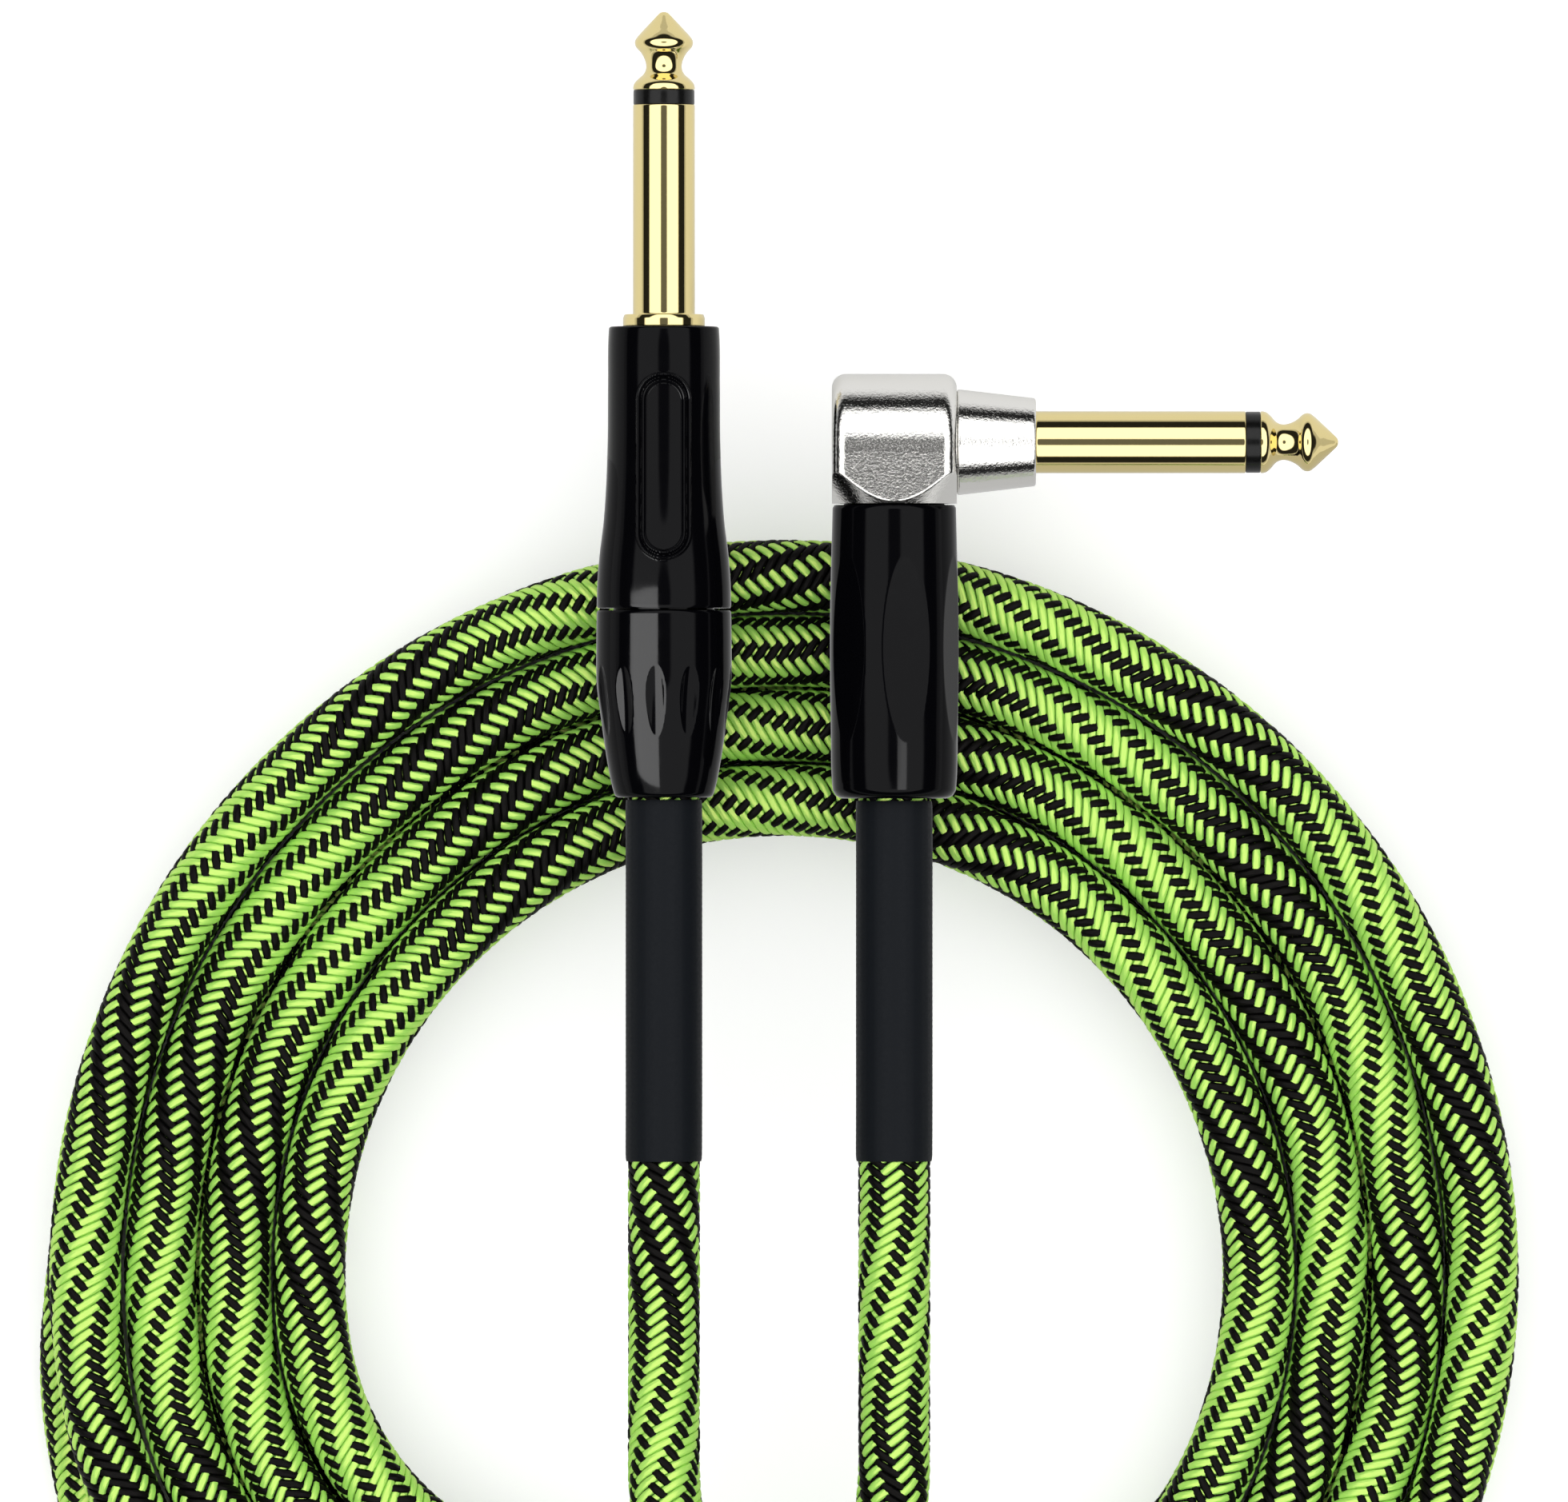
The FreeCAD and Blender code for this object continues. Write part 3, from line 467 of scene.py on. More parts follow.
def eased(profile, radius=0.15, steps=3):
    """The closed profile with each sharp corner worn to a small arc."""
    corners = [np.array(p, float) for p in profile]
    count = len(corners)
    result = []
    for i, corner in enumerate(corners):
        back = corners[i - 1] - corner
        ahead = corners[(i + 1) % count] - corner
        back_length = np.linalg.norm(back)
        ahead_length = np.linalg.norm(ahead)
        turn = math.pi - math.acos(
            np.clip(back @ ahead / (back_length * ahead_length), -1.0, 1.0)
        )
        if turn < math.radians(12):
            result.append(corner)
            continue
        trim = min(radius * math.tan(turn / 2), 0.4 * back_length, 0.4 * ahead_length)
        start = corner + back / back_length * trim
        end = corner + ahead / ahead_length * trim
        for step in range(steps + 1):
            t = step / steps
            result.append((1 - t) ** 2 * start + 2 * t * (1 - t) * corner + t**2 * end)
    return held(result)


def held(profile, margin=0.1):
    """Extra points near the ends of each long side, which keep its shading straight."""
    result = []
    for i, point in enumerate(profile):
        result.append(point)
        side = profile[(i + 1) % len(profile)] - point
        length = np.linalg.norm(side)
        if length > 4 * margin:
            result.append(point + side * margin / length)
            result.append(point + side * (1 - margin / length))
    return result


def turned_points(profile, around, apex, along):
    """Rings of points: the profile's (distance from the apex, radius), turned about the axis."""
    apex = np.array(apex, float)
    along = np.array(along, float)
    up = np.array((0.0, 0.0, 1.0))
    side = np.cross(up, along)
    rings = []
    for distance, radius in profile:
        radii = radius if np.ndim(radius) else np.full(len(around), radius)
        centre = apex + along * distance
        rings.append(
            centre
            + np.outer(radii * np.cos(around), up)
            + np.outer(radii * np.sin(around), side)
        )
    return np.concatenate(rings)


def loop_faces(rings, columns, closed=True):
    """Quads between neighbouring rings, the last joined to the first where closed."""
    faces = []
    for i in range(rings if closed else rings - 1):
        following = (i + 1) % rings
        for j in range(columns):
            right = (j + 1) % columns
            faces.append(
                (
                    i * columns + j,
                    following * columns + j,
                    following * columns + right,
                    i * columns + right,
                )
            )
    return faces


def capped_faces(rings, columns):
    """Quads between neighbouring rings, with a cap on the first and on the last."""
    faces = loop_faces(rings, columns, closed=False)
    last = (rings - 1) * columns
    faces.append(tuple(range(columns)))
    faces.append(tuple(reversed(range(last, last + columns))))
    return faces


def turned_piece(name, profile, apex, along, material, body="root", columns=96, sharp=35.0):
    """A turned tube with a closed profile, whose radii are all above zero."""
    around = np.linspace(0, 2 * math.pi, columns, endpoint=False)
    points = turned_points(profile, around, apex, along)
    return mesh_piece(
        name, points, loop_faces(len(profile), columns), material, body, sharp
    )


def turned_bar(name, profile, apex, along, material, columns=96, sharp=35.0):
    """A turned bar, whose open profile starts and ends close to the axis."""
    around = np.linspace(0, 2 * math.pi, columns, endpoint=False)
    points = turned_points(profile, around, apex, along)
    return mesh_piece(
        name, points, capped_faces(len(profile), columns), material, "root", sharp
    )


def smooth_curve(stations, count):
    """Evenly spaced points of a smooth curve through (distance, radius) stations."""
    stations = np.array(stations, float)
    places = np.linspace(stations[0, 0], stations[-1, 0], count)
    slopes = np.gradient(stations[:, 1], stations[:, 0])
    result = []
    for place in places:
        i = min(np.searchsorted(stations[:, 0], place, side="right") - 1, len(stations) - 2)
        width = stations[i + 1, 0] - stations[i, 0]
        t = (place - stations[i, 0]) / width
        radius = (
            (2 * t**3 - 3 * t**2 + 1) * stations[i, 1]
            + (t**3 - 2 * t**2 + t) * width * slopes[i]
            + (-2 * t**3 + 3 * t**2) * stations[i + 1, 1]
            + (t**3 - t**2) * width * slopes[i + 1]
        )
        result.append((place, radius))
    return result


# ---------------------------------------------------------------- the cable

def eased_share(angle, start, end):
    """0 before the start angle, 1 after the end angle, and a smooth rise between."""
    t = min(1.0, max(0.0, (angle - start) / (end - start)))
    return t * t * (3 - 2 * t)


def turn_at(turn, angle):
    """Radius and height on a turn, which shifts over to the next turn after SHIFT_START."""
    radius, height = TURNS[turn]
    if turn == len(TURNS) - 1 or angle <= SHIFT_START:
        return radius, height
    next_radius, next_height = TURNS[turn + 1]
    if turn < TOP_TURNS - 1:
        radius += (next_radius - radius) * eased_share(angle, *TOP_ACROSS)
        height += (next_height - height) * eased_share(angle, *TOP_DOWN)
        lift = eased_share(angle, *TOP_LIFT) * (1 - eased_share(angle, *TOP_SETTLE))
        height += (TURNS[0][1] + LIFT_OVER - height) * lift
    elif turn == TOP_TURNS - 1:
        radius += (INNER_DROP_RADIUS - radius) * eased_share(angle, *INNER_ACROSS)
        radius += (next_radius - INNER_DROP_RADIUS) * eased_share(angle, *INNER_BACK)
        height += (next_height - height) * eased_share(angle, *INNER_DOWN)
    else:
        radius += (next_radius - radius) * eased_share(angle, *BOTTOM_ACROSS)
    return radius, height


def coil_points():
    """The turns as points of the cable's own spline, from the right side round to the left."""
    step = 360 // POINTS_PER_TURN
    points = []
    for angle in range(-step, 360 * (len(TURNS) - 1) + 180 + 1, step):
        turn, within = divmod(angle, 360)
        if within >= 360 - step:
            turn += 1
            within -= 360
        radius, height = turn_at(turn, within)
        reach = radius / SPLINE_SHRINK
        direction = math.radians(angle)
        points.append(
            (
                reach * math.cos(direction),
                COIL_CENTRE_Y + reach * math.sin(direction),
                height,
            )
        )
    return points


def spline_points(points):
    """Points along the NURBS curve that has the route as its control points, in millimetres."""
    data = bpy.data.curves.new("route", "CURVE")
    data.dimensions = "3D"
    spline = data.splines.new("NURBS")
    spline.points.add(len(points) - 1)
    for point, place in zip(spline.points, points):
        point.co = (*[c * MM for c in place], 1)
    spline.order_u = 3
    spline.use_endpoint_u = True
    spline.resolution_u = 24
    route = bpy.data.objects.new("route", data)
    mesh = bpy.data.meshes.new_from_object(route)
    followed = np.array([v.co[:] for v in mesh.vertices]) / MM
    bpy.data.objects.remove(route)
    bpy.data.curves.remove(data)
    bpy.data.meshes.remove(mesh)
    return followed


def even_path(points, step):
    """The same line with its points evenly spaced, and the distance along it at each."""
    gaps = np.linalg.norm(np.diff(points, axis=0), axis=1)
    distance = np.concatenate(([0.0], np.cumsum(gaps)))
    even = np.linspace(0, distance[-1], int(distance[-1] / step) + 1)
    line = np.stack([np.interp(even, distance, points[:, i]) for i in range(3)], axis=1)
    return line, even


def carried_frames(line):
    """Two directions across the line at each of its points, turning as little as they can."""
    heading = np.gradient(line, axis=0)
    heading /= np.linalg.norm(heading, axis=1, keepdims=True)
    across = np.zeros_like(line)
    current = np.array((0.0, 0.0, 1.0))
    for i, forward in enumerate(heading):
        current = current - forward * (current @ forward)
        current /= np.linalg.norm(current)
        across[i] = current
    return across, np.cross(heading, across)


def make_core(line, across, over):
    """The dark jacket under the braid, which is the cord itself."""
    around = np.linspace(0, 2 * math.pi, 20, endpoint=False)
    points = (
        line[:, None, :]
        + CORE_RADIUS * np.cos(around)[None, :, None] * across[:, None, :]
        - CORE_RADIUS * np.sin(around)[None, :, None] * over[:, None, :]
    ).reshape(-1, 3)
    return mesh_piece(
        "cable_core", points, capped_faces(len(line), len(around)), jacket
    )


def make_yarns(name, hand, line, distance, across, over, material):
    """All the yarns that run one way round the cable, each going over two and under two.

    hand is 1 for the yarns that climb one way and -1 for the others.
    """
    twist = TWIST_SWING * np.sin(2 * math.pi * (distance - TWIST_START) / TWIST_LENGTH)
    tubes = []
    section_side = np.array([place[0] for place in YARN_SECTION]) * YARN_WIDTH
    section_up = np.array([place[1] for place in YARN_SECTION]) * YARN_HEIGHT
    for yarn in range(YARNS_EACH_WAY):
        turn = 2 * math.pi * (yarn / YARNS_EACH_WAY + hand * distance / BRAID_LEAD) + twist
        crossing = 2 * yarn + hand * 2 * YARNS_EACH_WAY * distance / BRAID_LEAD
        wave = hand * np.cos(math.pi / 2 * (crossing - 0.5))
        radius = YARN_RADIUS + YARN_RISE * np.clip(1.4 * wave, -1, 1)
        outward = np.cos(turn)[:, None] * across + np.sin(turn)[:, None] * over
        centre = line + radius[:, None] * outward
        heading = np.gradient(centre, axis=0)
        heading /= np.linalg.norm(heading, axis=1, keepdims=True)
        side = np.cross(outward, heading)
        side /= np.linalg.norm(side, axis=1, keepdims=True)
        up = np.cross(heading, side)
        tubes.append(
            centre[:, None, :]
            + section_side[None, :, None] * side[:, None, :]
            + section_up[None, :, None] * up[:, None, :]
        )
    points = np.array(tubes).reshape(-1, 3)
    return yarn_mesh(name, points, len(line), distance, material)


def yarn_mesh(name, points, rings, distance, material):
    """One mesh of many thin tubes, with a UV map of (share around, distance along)."""
    sides = len(YARN_SECTION)
    ring = np.arange(rings - 1)[:, None, None] * sides
    column = np.arange(sides)[None, :, None]
    right = (column + 1) % sides
    one = np.concatenate(
        (ring + column, ring + right, ring + sides + right, ring + sides + column), axis=2
    ).reshape(-1, 4)
    starts = np.arange(YARNS_EACH_WAY)[:, None, None] * rings * sides
    quads = (one[None] + starts).reshape(-1, 4)

    mesh = bpy.data.meshes.new(name)
    mesh.vertices.add(len(points))
    mesh.vertices.foreach_set("co", (points * MM).astype(np.float32).ravel())
    mesh.loops.add(quads.size)
    mesh.loops.foreach_set("vertex_index", quads.ravel().astype(np.int32))
    mesh.polygons.add(len(quads))
    mesh.polygons.foreach_set("loop_start", np.arange(0, quads.size, 4, dtype=np.int32))
    mesh.update(calc_edges=True)
    mesh.shade_smooth()

    corner_side = (quads % sides) / sides
    seam = (corner_side.max(axis=1) - corner_side.min(axis=1) > 0.6)[:, None]
    corner_side = np.where(seam & (corner_side < 0.4), corner_side + 1.0, corner_side)
    corner_ring = (quads // sides) % rings
    corner_yarn = quads // (sides * rings)
    chart = mesh.uv_layers.new(name="yarn")
    values = np.stack((corner_side + 3.0 * corner_yarn, distance[corner_ring]), axis=2)
    chart.data.foreach_set("uv", values.astype(np.float32).ravel())
    mesh.materials.append(material)
    piece = bpy.data.objects.new(name, mesh)
    bpy.context.scene.collection.objects.link(piece)
    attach(piece, "root")
    return piece


def make_cable():
    """One cord from plug to plug: the core, and the yarns braided over it in two directions."""
    route = spline_points(STRAIGHT_END_ROUTE + coil_points() + ANGLED_END_ROUTE)
    line, distance = even_path(route, YARN_STEP)
    across, over = carried_frames(line)
    every = YARN_STEPS_PER_CORE_STEP
    core = make_core(line[::every], across[::every], over[::every])
    green = make_yarns("braid_green", 1, line, distance, across, over, green_yarn)
    black = make_yarns("braid_black", -1, line, distance, across, over, black_yarn)
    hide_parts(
        "cable_coil",
        "straight_end_cable",
        "angled_end_cable",
        "straight_jacket_end",
        "angled_jacket_end",
    )


# ---------------------------------------------------------------- the plugs

def make_tip(side):
    """The ball of the tip, and the rod that runs from it to its rivet."""
    apex, along, _ = FINGERS[side]
    rivet_end = back_of(side, "tip")
    rod_end = rivet_end - RIVET_HEIGHT
    profile = TIP_POINT + smooth_curve(TIP_STATIONS, 60)
    profile += [
        (TIP_LENGTH - TIP_EDGE, PLUG_RADIUS),
        (TIP_LENGTH, PLUG_RADIUS - TIP_EDGE),
        (TIP_LENGTH, ROD_RADIUS),
        (rod_end, ROD_RADIUS),
        (rod_end, RIVET_RADIUS),
        (rivet_end, RIVET_RADIUS - 0.1),
        (rivet_end, 0.1),
    ]
    piece = turned_bar(f"{side}_tip_ball", profile, apex, along, gold)
    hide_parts(f"{side}_tip")


def make_insulator(side):
    """The black ring behind the tip, and the tube that it runs back in."""
    apex, along, _ = FINGERS[side]
    ring_start = TIP_LENGTH + INSULATOR_GAP
    ring_end = RING_END - INSULATOR_GAP
    ring_radius = PLUG_RADIUS - INSULATOR_INSET
    tube_end = back_of(side, "tip_insulator")
    profile = eased(
        [
            (ring_start, ROD_RADIUS),
            (ring_start, ring_radius),
            (ring_end, ring_radius),
            (ring_end, INSULATOR_RADIUS),
            (tube_end, INSULATOR_RADIUS),
            (tube_end, ROD_RADIUS),
        ],
        radius=0.08,
    )
    piece = turned_piece(
        f"{side}_black_ring", profile, apex, along, insulator
    )
    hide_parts(f"{side}_tip_insulator")


def make_sleeve(side, shoulders):
    """The long contact.  The shoulders are (distance, radius) corners behind the shaft."""
    apex, along, _ = FINGERS[side]
    stem_end = back_of(side, "sleeve")
    profile = eased(
        [
            (RING_END, INSULATOR_RADIUS),
            (RING_END, PLUG_RADIUS),
            (FINGER_LENGTH, PLUG_RADIUS),
            *shoulders,
            (stem_end, STEM_RADIUS),
            (stem_end, INSULATOR_RADIUS),
        ],
        radius=0.12,
    )
    piece = turned_piece(f"{side}_shaft", profile, apex, along, gold, columns=128)
    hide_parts(f"{side}_sleeve")


def make_heatshrink(side, axis_x, axis_z):
    """The shrunk sleeve: the braid shows through it faintly, and its ends are thin."""
    back_y, front_y = span(f"{side}_heatshrink", Y)
    length = front_y - back_y
    rows = 220
    around = np.linspace(0, 2 * math.pi, 96, endpoint=False)
    profile = []
    for row in range(rows + 1):
        along = length * row / rows
        ends = min(along, length - along)
        radius = SHRINK_RADIUS - SHRINK_LIP * math.exp(-ends / 0.25)
        climb = 2 * math.pi * along / BRAID_LEAD
        ripple = SHRINK_RIPPLE * np.cos(YARNS_EACH_WAY * (around - climb))
        ripple = ripple * np.cos(YARNS_EACH_WAY * (around + climb))
        slack = SHRINK_SLACK * np.sin(3 * around + 0.35 * along) * math.exp(-ends / 4.0)
        profile.append((along, radius + ripple + slack))
    profile += [(length, SHRINK_BORE), (0.0, SHRINK_BORE)]
    points = turned_points(profile, around, (axis_x, front_y, axis_z), TO_CABLE)
    piece = mesh_piece(
        f"{side}_shrink_sleeve",
        points,
        loop_faces(len(profile), len(around)),
        heat_shrink,
    )
    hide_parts(f"{side}_heatshrink")


def dense_angles(half_width, fine, coarse):
    """Angles once round, finer within the half width on each side of the top."""
    top = np.linspace(-half_width, half_width, fine)
    rest = np.linspace(half_width, 2 * math.pi - half_width, coarse + 2)[1:-1]
    return np.concatenate((top, rest))


def ridge(distance, place, half_width):
    """1 at the place and 0 from the half width outwards, smooth between."""
    t = np.clip(np.abs(distance - place) / half_width, 0, 1)
    return (1 - t * t) ** 2


def step_down(distance, place, width):
    """1 below the place and 0 above it, smooth over the width."""
    t = np.clip((distance - place) / width + 0.5, 0, 1)
    return 1 - t * t * (3 - 2 * t)


def make_shell():
    """The straight plug's shell, with a blank stadium-shaped badge on top."""
    around = dense_angles(BADGE_REACH + math.radians(2), fine=150, coarse=110)
    signed = np.where(around > math.pi, around - 2 * math.pi, around)
    edge = BADGE_WIDTH / 2
    half_run = BADGE_LENGTH / 2 - edge
    profile = list(SHELL_MOUTH)
    for along, radius in smooth_curve(SHELL_STATIONS, 260):
        beyond = max(0.0, abs(along - BADGE_MIDDLE) - half_run)
        distance = np.hypot(signed * radius, beyond)
        relief = sum(
            height * ridge(distance, edge - inset, half_width)
            for height, inset, half_width in BADGE_RIDGES
        )
        relief -= BADGE_FLOOR_DEPTH * step_down(
            distance, edge - BADGE_FLOOR_INSET, BADGE_FLOOR_SLOPE
        )
        relief = np.where(np.abs(signed) < BADGE_REACH, relief, 0.0)
        profile.append((along, radius + relief))
    profile += SHELL_INSIDE
    points = turned_points(profile, around, STRAIGHT_APEX, TO_CABLE)
    piece = mesh_piece(
        "straight_shell_badged",
        points,
        loop_faces(len(profile), len(around)),
        gloss_black,
    )
    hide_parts("straight_shell")


def thread_rows(start, end, around):
    """Rows of a screw thread: the radius swells once round for each pitch along."""
    rows = []
    count = int((end - start) / THREAD_PITCH * ROWS_PER_PITCH)
    for row in range(count + 1):
        along = start + (end - start) * row / count
        phase = (along / THREAD_PITCH - around / (2 * math.pi)) % 1.0
        swell = 1 - np.abs(2 * phase - 1)
        fade = min(1.0, row / 6, (count - row) / 6)
        flank = np.clip(1.6 * swell - 0.3, 0, 1) * fade
        rows.append((along, THREAD_ROOT + (THREAD_CREST - THREAD_ROOT) * flank))
    return rows


def closer_front(thread_start, start, around):
    """The front of a closer's profile: its mouth, its thread and the neck behind that."""
    rows = thread_rows(thread_start, start - THREAD_RUNOUT, around)
    return [(thread_start, CLOSER_BORE), *rows, (start, THREAD_NECK)]


def closer_bore(end, cone_start):
    """The inside of a closer, from its end forwards, with the cone that presses on the chuck."""
    cone_end = cone_start + CHUCK_CONE_LENGTH
    return [(end, CLOSER_END_BORE), (cone_end, CLOSER_END_BORE), (cone_start, CLOSER_BORE)]


def offset_in_share(around, count, first):
    """Each angle as its offset from the middle of its share of the circle, of count shares."""
    share = 2 * math.pi / count
    return (around - first + share / 2) % share - share / 2


def make_bushing():
    """The rear bushing with its thread, and lens-shaped hollows for the fingers."""
    around = np.linspace(0, 2 * math.pi, CLOSER_COLUMNS, endpoint=False)
    offset = offset_in_share(around, HOLLOW_COUNT, HOLLOW_TURN)
    sine = HOLLOW_CENTRE_RADIUS * np.sin(offset)
    profile = closer_front(BUSHING_THREAD_START, BUSHING_START, around)
    profile.append((BUSHING_START, BUSHING_SHOULDER_RADIUS))
    for along, radius in smooth_curve(BUSHING_STATIONS, 150):
        spread = 1 - ((along - HOLLOW_PLACE) / HOLLOW_HALF_LENGTH) ** 2
        radii = np.full(len(around), radius)
        if spread > 0:
            reach = HOLLOW_HALF_DEPTH * math.sqrt(spread)
            inside = np.abs(sine) < reach
            root = np.sqrt(np.where(inside, reach**2 - sine**2, 0.0))
            floor = HOLLOW_CENTRE_RADIUS * np.cos(offset) - root
            radii = np.where(inside, np.minimum(radii, floor), radii)
        profile.append((along, radii))
    profile += BUSHING_REAR + closer_bore(BUSHING_END, BUSHING_CONE_START)
    points = turned_points(profile, around, STRAIGHT_APEX, TO_CABLE)
    piece = mesh_piece(
        "straight_grip_bushing",
        points,
        loop_faces(len(profile), len(around)),
        gloss_black,
        "straight_bushing",
        sharp=50.0,
    )
    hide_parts("straight_bushing")


def make_barrel():
    """The right-angle plug's long nut with its thread, and scooped finger flats."""
    around = np.linspace(0, 2 * math.pi, CLOSER_COLUMNS, endpoint=False)
    offset = offset_in_share(around, FLAT_COUNT, FLAT_TURN)
    profile = closer_front(BARREL_THREAD_START, BARREL_START, around)
    profile.append((BARREL_START, BARREL_SHOULDER_RADIUS))
    for along, radius in smooth_curve(BARREL_STATIONS, 170):
        beyond = along - FLAT_MIDDLE
        floor = FLAT_RADIUS + FLAT_CURVE - math.sqrt(FLAT_CURVE**2 - beyond**2)
        profile.append((along, np.minimum(radius, floor / np.cos(offset))))
    profile += BARREL_REAR + closer_bore(BARREL_END, BARREL_CONE_START)
    points = turned_points(profile, around, ANGLED_CORNER, TO_CABLE)
    piece = mesh_piece(
        "angled_grip_barrel",
        points,
        loop_faces(len(profile), len(around)),
        gloss_black,
        "angled_barrel",
        sharp=50.0,
    )
    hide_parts("angled_barrel")


def make_nose():
    """The nickel cone between the finger and the elbow."""
    profile = eased(
        [
            (FINGER_LENGTH, STEM_RADIUS),
            (FINGER_LENGTH, NOSE_FRONT_RADIUS),
            (NOSE_END, NOSE_BACK_RADIUS),
            (NOSE_END, STEM_RADIUS),
        ],
        radius=0.3,
        steps=5,
    )
    piece = turned_piece(
        "angled_nose_cone", profile, ANGLED_APEX, FROM_FINGER, nickel, columns=128
    )
    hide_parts("angled_nose")


def elbow_outline(ahead, top_share, limit, per_side=44, per_corner=14):
    """The elbow's cross-section, ahead of the finger's axis by a distance below the half depth.

    top_share lowers the shield, and limit is the radius of the cone that trims the outline.
    """
    half = ELBOW_WIDTH / 2 - ELBOW_ROUND
    inner = ELBOW_HALF_DEPTH - ELBOW_ROUND
    quarter = []
    for angle in np.radians(np.linspace(0, 90, per_corner)):
        reach = max(inner + ELBOW_ROUND * math.sin(angle), ahead)
        out = math.sqrt(max(ELBOW_ROUND**2 - max(reach - inner, 0.0) ** 2, 0.0))
        quarter.append((half + out, math.sqrt(reach**2 - ahead**2)))
    quarter = np.array(quarter)
    corners = [
        quarter,
        (quarter * (-1, 1))[::-1],
        quarter * (-1, -1),
        (quarter * (1, -1))[::-1],
    ]
    outline = []
    for k, corner in enumerate(corners):
        outline.append(corner)
        following = corners[(k + 1) % 4][0]
        share = np.linspace(0, 1, per_side)[1:-1, None]
        outline.append(corner[-1] + (following - corner[-1]) * share)
    outline = np.concatenate(outline)
    outline[:, 1] *= np.where(outline[:, 1] > 0, top_share, 1.0)
    reach = np.hypot(outline[:, 0], outline[:, 1])
    return outline * np.minimum(1.0, limit / np.maximum(reach, 0.001))[:, None]


def make_elbow():
    """The nickel elbow: a half-round end, a shield-shaped flat and a threaded bore."""
    back = ANGLED_FINGER_Y - ELBOW_DROP
    rows = []
    for angle in np.radians(np.linspace(89.2, 0.0, 80)):
        ahead = ELBOW_HALF_DEPTH * math.sin(angle)
        limit = ELBOW_CONE_RADIUS + ELBOW_CONE_SLOPE * (ELBOW_DROP + ahead)
        rows.append((ANGLED_FINGER_Y + ahead, elbow_outline(ahead, 1.0, limit)))
    for behind in np.linspace(0.0, ELBOW_DROP, 90)[1:]:
        tilted = max(behind - SHIELD_LEDGE, 0.0)
        top_share = 1 - math.tan(SHIELD_TILT) * tilted / ELBOW_HALF_DEPTH
        limit = ELBOW_CONE_RADIUS + ELBOW_CONE_SLOPE * (ELBOW_DROP - behind)
        rows.append((ANGLED_FINGER_Y - behind, elbow_outline(0.0, top_share, limit)))
    columns = len(rows[0][1])
    around = np.arctan2(rows[-1][1][:, 1], rows[-1][1][:, 0])
    circle = np.stack((np.cos(around), np.sin(around)), axis=1)
    square = circle / np.abs(circle).max(axis=1)[:, None]
    rows += [
        (back, circle * (ELBOW_THREAD_RADIUS + ELBOW_THREAD_EDGE)),
        (back + ELBOW_THREAD_EDGE, circle * ELBOW_THREAD_RADIUS),
        (back + ELBOW_THREAD_DEPTH, circle * ELBOW_THREAD_RADIUS),
        (back + ELBOW_THREAD_DEPTH, square * ELBOW_CAVITY_HALF),
        (ANGLED_FINGER_Y + ELBOW_CAVITY_HALF, square * ELBOW_CAVITY_HALF),
    ]
    points = []
    for y, outline in rows:
        for x, z in outline:
            points.append((ANGLED_X + x, y, ANGLED_Z + z))
    faces = capped_faces(len(rows), columns)
    piece = mesh_piece("angled_elbow_shell", points, faces, nickel, sharp=24.0)
    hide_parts("angled_elbow")


def make_finger(side, shoulders):
    """The tip, the black ring and the long contact of one plug."""
    make_tip(side)
    make_insulator(side)
    make_sleeve(side, shoulders)


def make_straight_plug():
    """The plug in line with its cable, whose finger has a collar against the shell."""
    collar_end = FINGER_LENGTH + COLLAR_WIDTH
    collar = [
        (FINGER_LENGTH, COLLAR_STEP_RADIUS),
        (FINGER_LENGTH + COLLAR_STEP, COLLAR_RADIUS),
        (collar_end, COLLAR_RADIUS),
        (collar_end, STEM_RADIUS),
    ]
    make_finger("straight", collar)
    make_shell()
    make_bushing()
    make_heatshrink("straight", STRAIGHT_X, STRAIGHT_Z)


def make_angled_plug():
    """The right-angle plug, whose finger goes straight into the nose."""
    make_finger("angled", [(FINGER_LENGTH, STEM_RADIUS)])
    make_nose()
    make_elbow()
    make_barrel()
    make_heatshrink("angled", ANGLED_X, ANGLED_Z)


def finish_cad_nodes():
    """Materials for the CAD nodes whose own shape shows."""
    looks = {
        "straight_lug_washer": insulator,
        "angled_lug_washer": insulator,
        "straight_liner": insulator,
        "straight_ground_lug": tinned,
        "straight_tip_lug": tinned,
        "angled_ground_lug": tinned,
        "angled_tip_lug": tinned,
        "straight_chuck": chuck_plastic,
        "angled_chuck": chuck_plastic,
        "straight_core_insulation": core_plastic,
        "angled_core_insulation": core_plastic,
        "straight_conductor": copper,
        "angled_conductor": copper,
        "straight_shield_tail": copper,
        "angled_shield_tail": copper,
    }
    for name, material in looks.items():
        bpy.data.objects[name].material_slots[0].material = material


# ---------------------------------------------------------------- floor, light and camera

# The floor, and its glow, which is painted light that lifts the floor to white for the camera. The
# glow starts at a distance from a ring in the middle of the turns, so the floor under the coil
# keeps its shade
FLOOR_HALF = 4000.0
GLOW_RING_RADIUS = 60.5
GLOW_STARTS = 8.0
GLOW_FULL = 15.0
GLOW_STRENGTH = 0.40

# The card that only reflections see
CARD_CLEARANCE = 0.3
CARD_STRENGTH = 0.6

# The camera: a long lens, and the width that it sees at the height of the straight plug
LENS = 600
SENSOR_WIDTH = 36
VIEW_WIDTH = 160.66
VIEW_MIDDLE_Y = 26.85


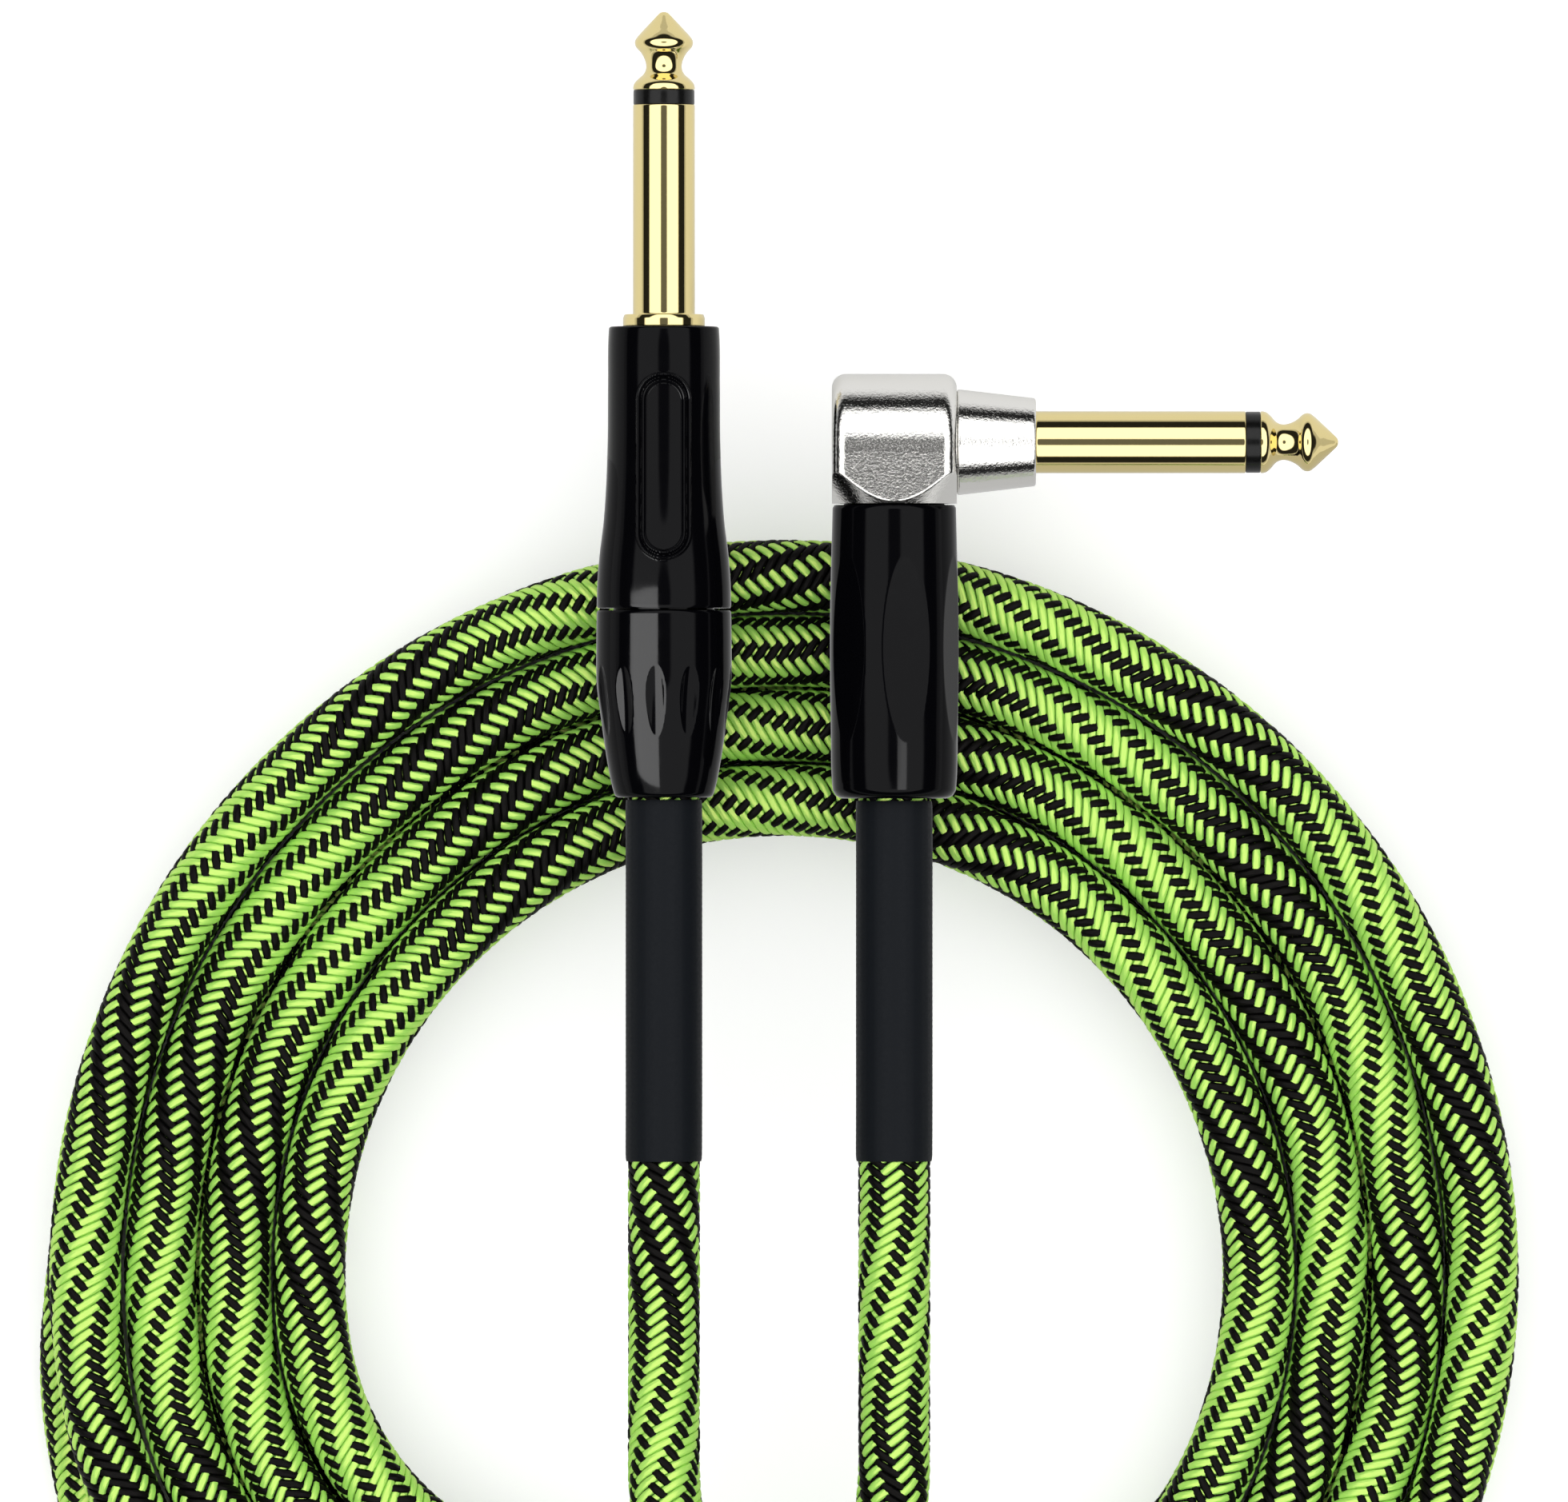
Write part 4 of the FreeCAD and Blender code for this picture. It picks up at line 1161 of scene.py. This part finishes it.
def band(tree, height, angles, levels):
    """A smooth step between two levels, at angles measured from straight up."""
    step = add(tree, "ShaderNodeMapRange", interpolation_type="SMOOTHSTEP")
    step.inputs["From Min"].default_value = math.cos(math.radians(angles[0]))
    step.inputs["From Max"].default_value = math.cos(math.radians(angles[1]))
    step.inputs["To Min"].default_value = levels[0]
    step.inputs["To Max"].default_value = levels[1]
    link(tree, height, step.inputs["Value"])
    return step.outputs["Result"]


def product(tree, first, second):
    """Two sockets, or a socket and a number, multiplied."""
    times = add(tree, "ShaderNodeMath", operation="MULTIPLY")
    for socket, value in zip(times.inputs, (first, second)):
        if isinstance(value, float):
            socket.default_value = value
        else:
            link(tree, value, socket)
    return times.outputs["Value"]


def flat_sheet(name, left, right, back, front, height):
    """A level rectangle of the stage, with sizes in millimetres."""
    corners = [(left, back), (right, back), (right, front), (left, front)]
    mesh = bpy.data.meshes.new(name)
    mesh.from_pydata([(x * MM, y * MM, height * MM) for x, y in corners], [], [(0, 1, 2, 3)])
    sheet = bpy.data.objects.new(name, mesh)
    bpy.context.scene.collection.objects.link(sheet)
    return sheet


def make_floor():
    """A plain white floor, lifted to pure white for the camera by a painted glow, but not under the
    coil, where it keeps the shade of the turns.
    """
    floor = flat_sheet(
        "floor",
        left=-FLOOR_HALF,
        right=FLOOR_HALF,
        back=-FLOOR_HALF,
        front=FLOOR_HALF,
        height=0.0,
    )
    material, tree, shader = new_material("floor", (0.80, 0.80, 0.80))
    shader.inputs["Roughness"].default_value = 1.0
    shader.inputs["Specular IOR Level"].default_value = 0.0
    shader.inputs["Emission Color"].default_value = (1, 1, 1, 1)
    place = add(tree, "ShaderNodeTexCoord")
    away = add(tree, "ShaderNodeVectorMath", operation="DISTANCE")
    away.inputs[1].default_value = (0.0, COIL_CENTRE_Y * MM, 0.0)
    from_ring = add(tree, "ShaderNodeMath", operation="SUBTRACT")
    from_ring.inputs[1].default_value = GLOW_RING_RADIUS * MM
    either_way = add(tree, "ShaderNodeMath", operation="ABSOLUTE")
    # Painted light: the glow is off near the ring under the coil and full away from it, so only the
    # floor clear of the coil is lifted to white
    glow = add(tree, "ShaderNodeMapRange", interpolation_type="SMOOTHSTEP")
    glow.inputs["From Min"].default_value = GLOW_STARTS * MM
    glow.inputs["From Max"].default_value = GLOW_FULL * MM
    glow.inputs["To Min"].default_value = 0.0
    glow.inputs["To Max"].default_value = GLOW_STRENGTH
    link(tree, place.outputs["Object"], away.inputs[0])
    link(tree, away.outputs["Value"], from_ring.inputs[0])
    link(tree, from_ring.outputs["Value"], either_way.inputs[0])
    link(tree, either_way.outputs["Value"], glow.inputs["Value"])
    # Only camera rays see the painted glow, so it lights nothing else in the scene
    ray = add(tree, "ShaderNodeLightPath")
    seen = product(tree, glow.outputs["Result"], ray.outputs["Is Camera Ray"])
    link(tree, seen, shader.inputs["Emission Strength"])
    floor.data.materials.append(material)


def make_sky():
    """The studio: a broad soft light overhead, which polished pieces see as a bright ring.

    The ring has a dark cap where the camera stands, a dark band below it, and pale walls.
    The backdrop is plain white for the camera.
    """
    world = bpy.data.worlds.new("studio")
    bpy.context.scene.world = world
    world.use_nodes = True
    tree = world.node_tree
    background = tree.nodes["Background"]
    background.inputs["Color"].default_value = (1, 1, 1, 1)
    place = add(tree, "ShaderNodeTexCoord")
    split = add(tree, "ShaderNodeSeparateXYZ")
    link(tree, place.outputs["Generated"], split.inputs["Vector"])
    height = split.outputs["Z"]
    ring = product(
        tree,
        band(tree, height, (58, 52), (0.02, 1.8)),
        band(tree, height, (14, 9), (1.0, 0.09)),
    )
    walls = band(tree, height, (85, 81), (0.6, 0.0))
    studio = add(tree, "ShaderNodeMath", operation="ADD")
    link(tree, ring, studio.inputs[0])
    link(tree, walls, studio.inputs[1])
    soft = product(tree, band(tree, height, (88, 20), (0.05, 1.0)), 1.5)
    ray = add(tree, "ShaderNodeLightPath")
    choose = add(tree, "ShaderNodeMix", data_type="FLOAT")
    link(tree, ray.outputs["Is Diffuse Ray"], choose.inputs[0])
    link(tree, studio.outputs["Value"], choose.inputs[2])
    link(tree, soft, choose.inputs[3])
    backdrop = add(tree, "ShaderNodeMath", operation="MAXIMUM")
    link(tree, choose.outputs[0], backdrop.inputs[0])
    link(tree, ray.outputs["Is Camera Ray"], backdrop.inputs[1])
    link(tree, backdrop.outputs["Value"], background.inputs["Strength"])


def make_card():
    """A pale card over the coil beside the elbow, which only reflections can see.

    It has one side: the braid below it sees the studio through it.
    """
    card = flat_sheet(
        "card", left=-60, right=90, back=-30, front=57, height=COIL_TOP + CARD_CLEARANCE
    )
    material = bpy.data.materials.new("card")
    material.use_nodes = True
    tree = material.node_tree
    tree.nodes.clear()
    side = add(tree, "ShaderNodeNewGeometry")
    glow = add(tree, "ShaderNodeEmission")
    glow.inputs["Strength"].default_value = CARD_STRENGTH
    clear = add(tree, "ShaderNodeBsdfTransparent")
    choose = add(tree, "ShaderNodeMixShader")
    output = add(tree, "ShaderNodeOutputMaterial")
    link(tree, side.outputs["Backfacing"], choose.inputs[0])
    link(tree, glow.outputs["Emission"], choose.inputs[1])
    link(tree, clear.outputs["BSDF"], choose.inputs[2])
    link(tree, choose.outputs["Shader"], output.inputs["Surface"])
    card.data.materials.append(material)
    card.visible_camera = False
    card.visible_diffuse = False
    card.visible_shadow = False


def make_softbox(name, size, place, power, lit_pieces):
    """A soft box that shows only as the highlight on some black pieces."""
    lit = bpy.data.collections.new(f"lit_by_{name}")
    for piece in lit_pieces:
        lit.objects.link(bpy.data.objects[piece])
    light = bpy.data.lights.new(name, "AREA")
    light.shape = "RECTANGLE"
    light.size = size[0] * MM
    light.size_y = size[1] * MM
    light.energy = power
    softbox = bpy.data.objects.new(name, light)
    softbox.location = [value * MM for value in place]
    softbox.visible_diffuse = False
    softbox.light_linking.receiver_collection = lit
    bpy.context.scene.collection.objects.link(softbox)


def make_camera():
    """Straight down on the plugs and the near part of the coil, with a long lens."""
    data = bpy.data.cameras.new("camera")
    data.lens = LENS
    data.sensor_width = SENSOR_WIDTH
    camera = bpy.data.objects.new("camera", data)
    height = STRAIGHT_Z + VIEW_WIDTH * LENS / SENSOR_WIDTH
    camera.location = (0.0, VIEW_MIDDLE_Y * MM, height * MM)
    data.clip_end = 20
    bpy.context.scene.collection.objects.link(camera)
    bpy.context.scene.camera = camera
    bpy.context.scene.view_settings.view_transform = "Standard"


make_cable()
make_straight_plug()
make_angled_plug()
finish_cad_nodes()
make_floor()
make_sky()
make_card()
make_softbox(
    "left_box",
    size=(150, 85),
    place=(-105, 8, 125),
    power=0.5,
    lit_pieces=["straight_shell_badged", "straight_grip_bushing"],
)
make_softbox(
    "front_strip", size=(31, 50), place=(37, 5, 125), power=0.034, lit_pieces=["angled_grip_barrel"]
)
make_camera()
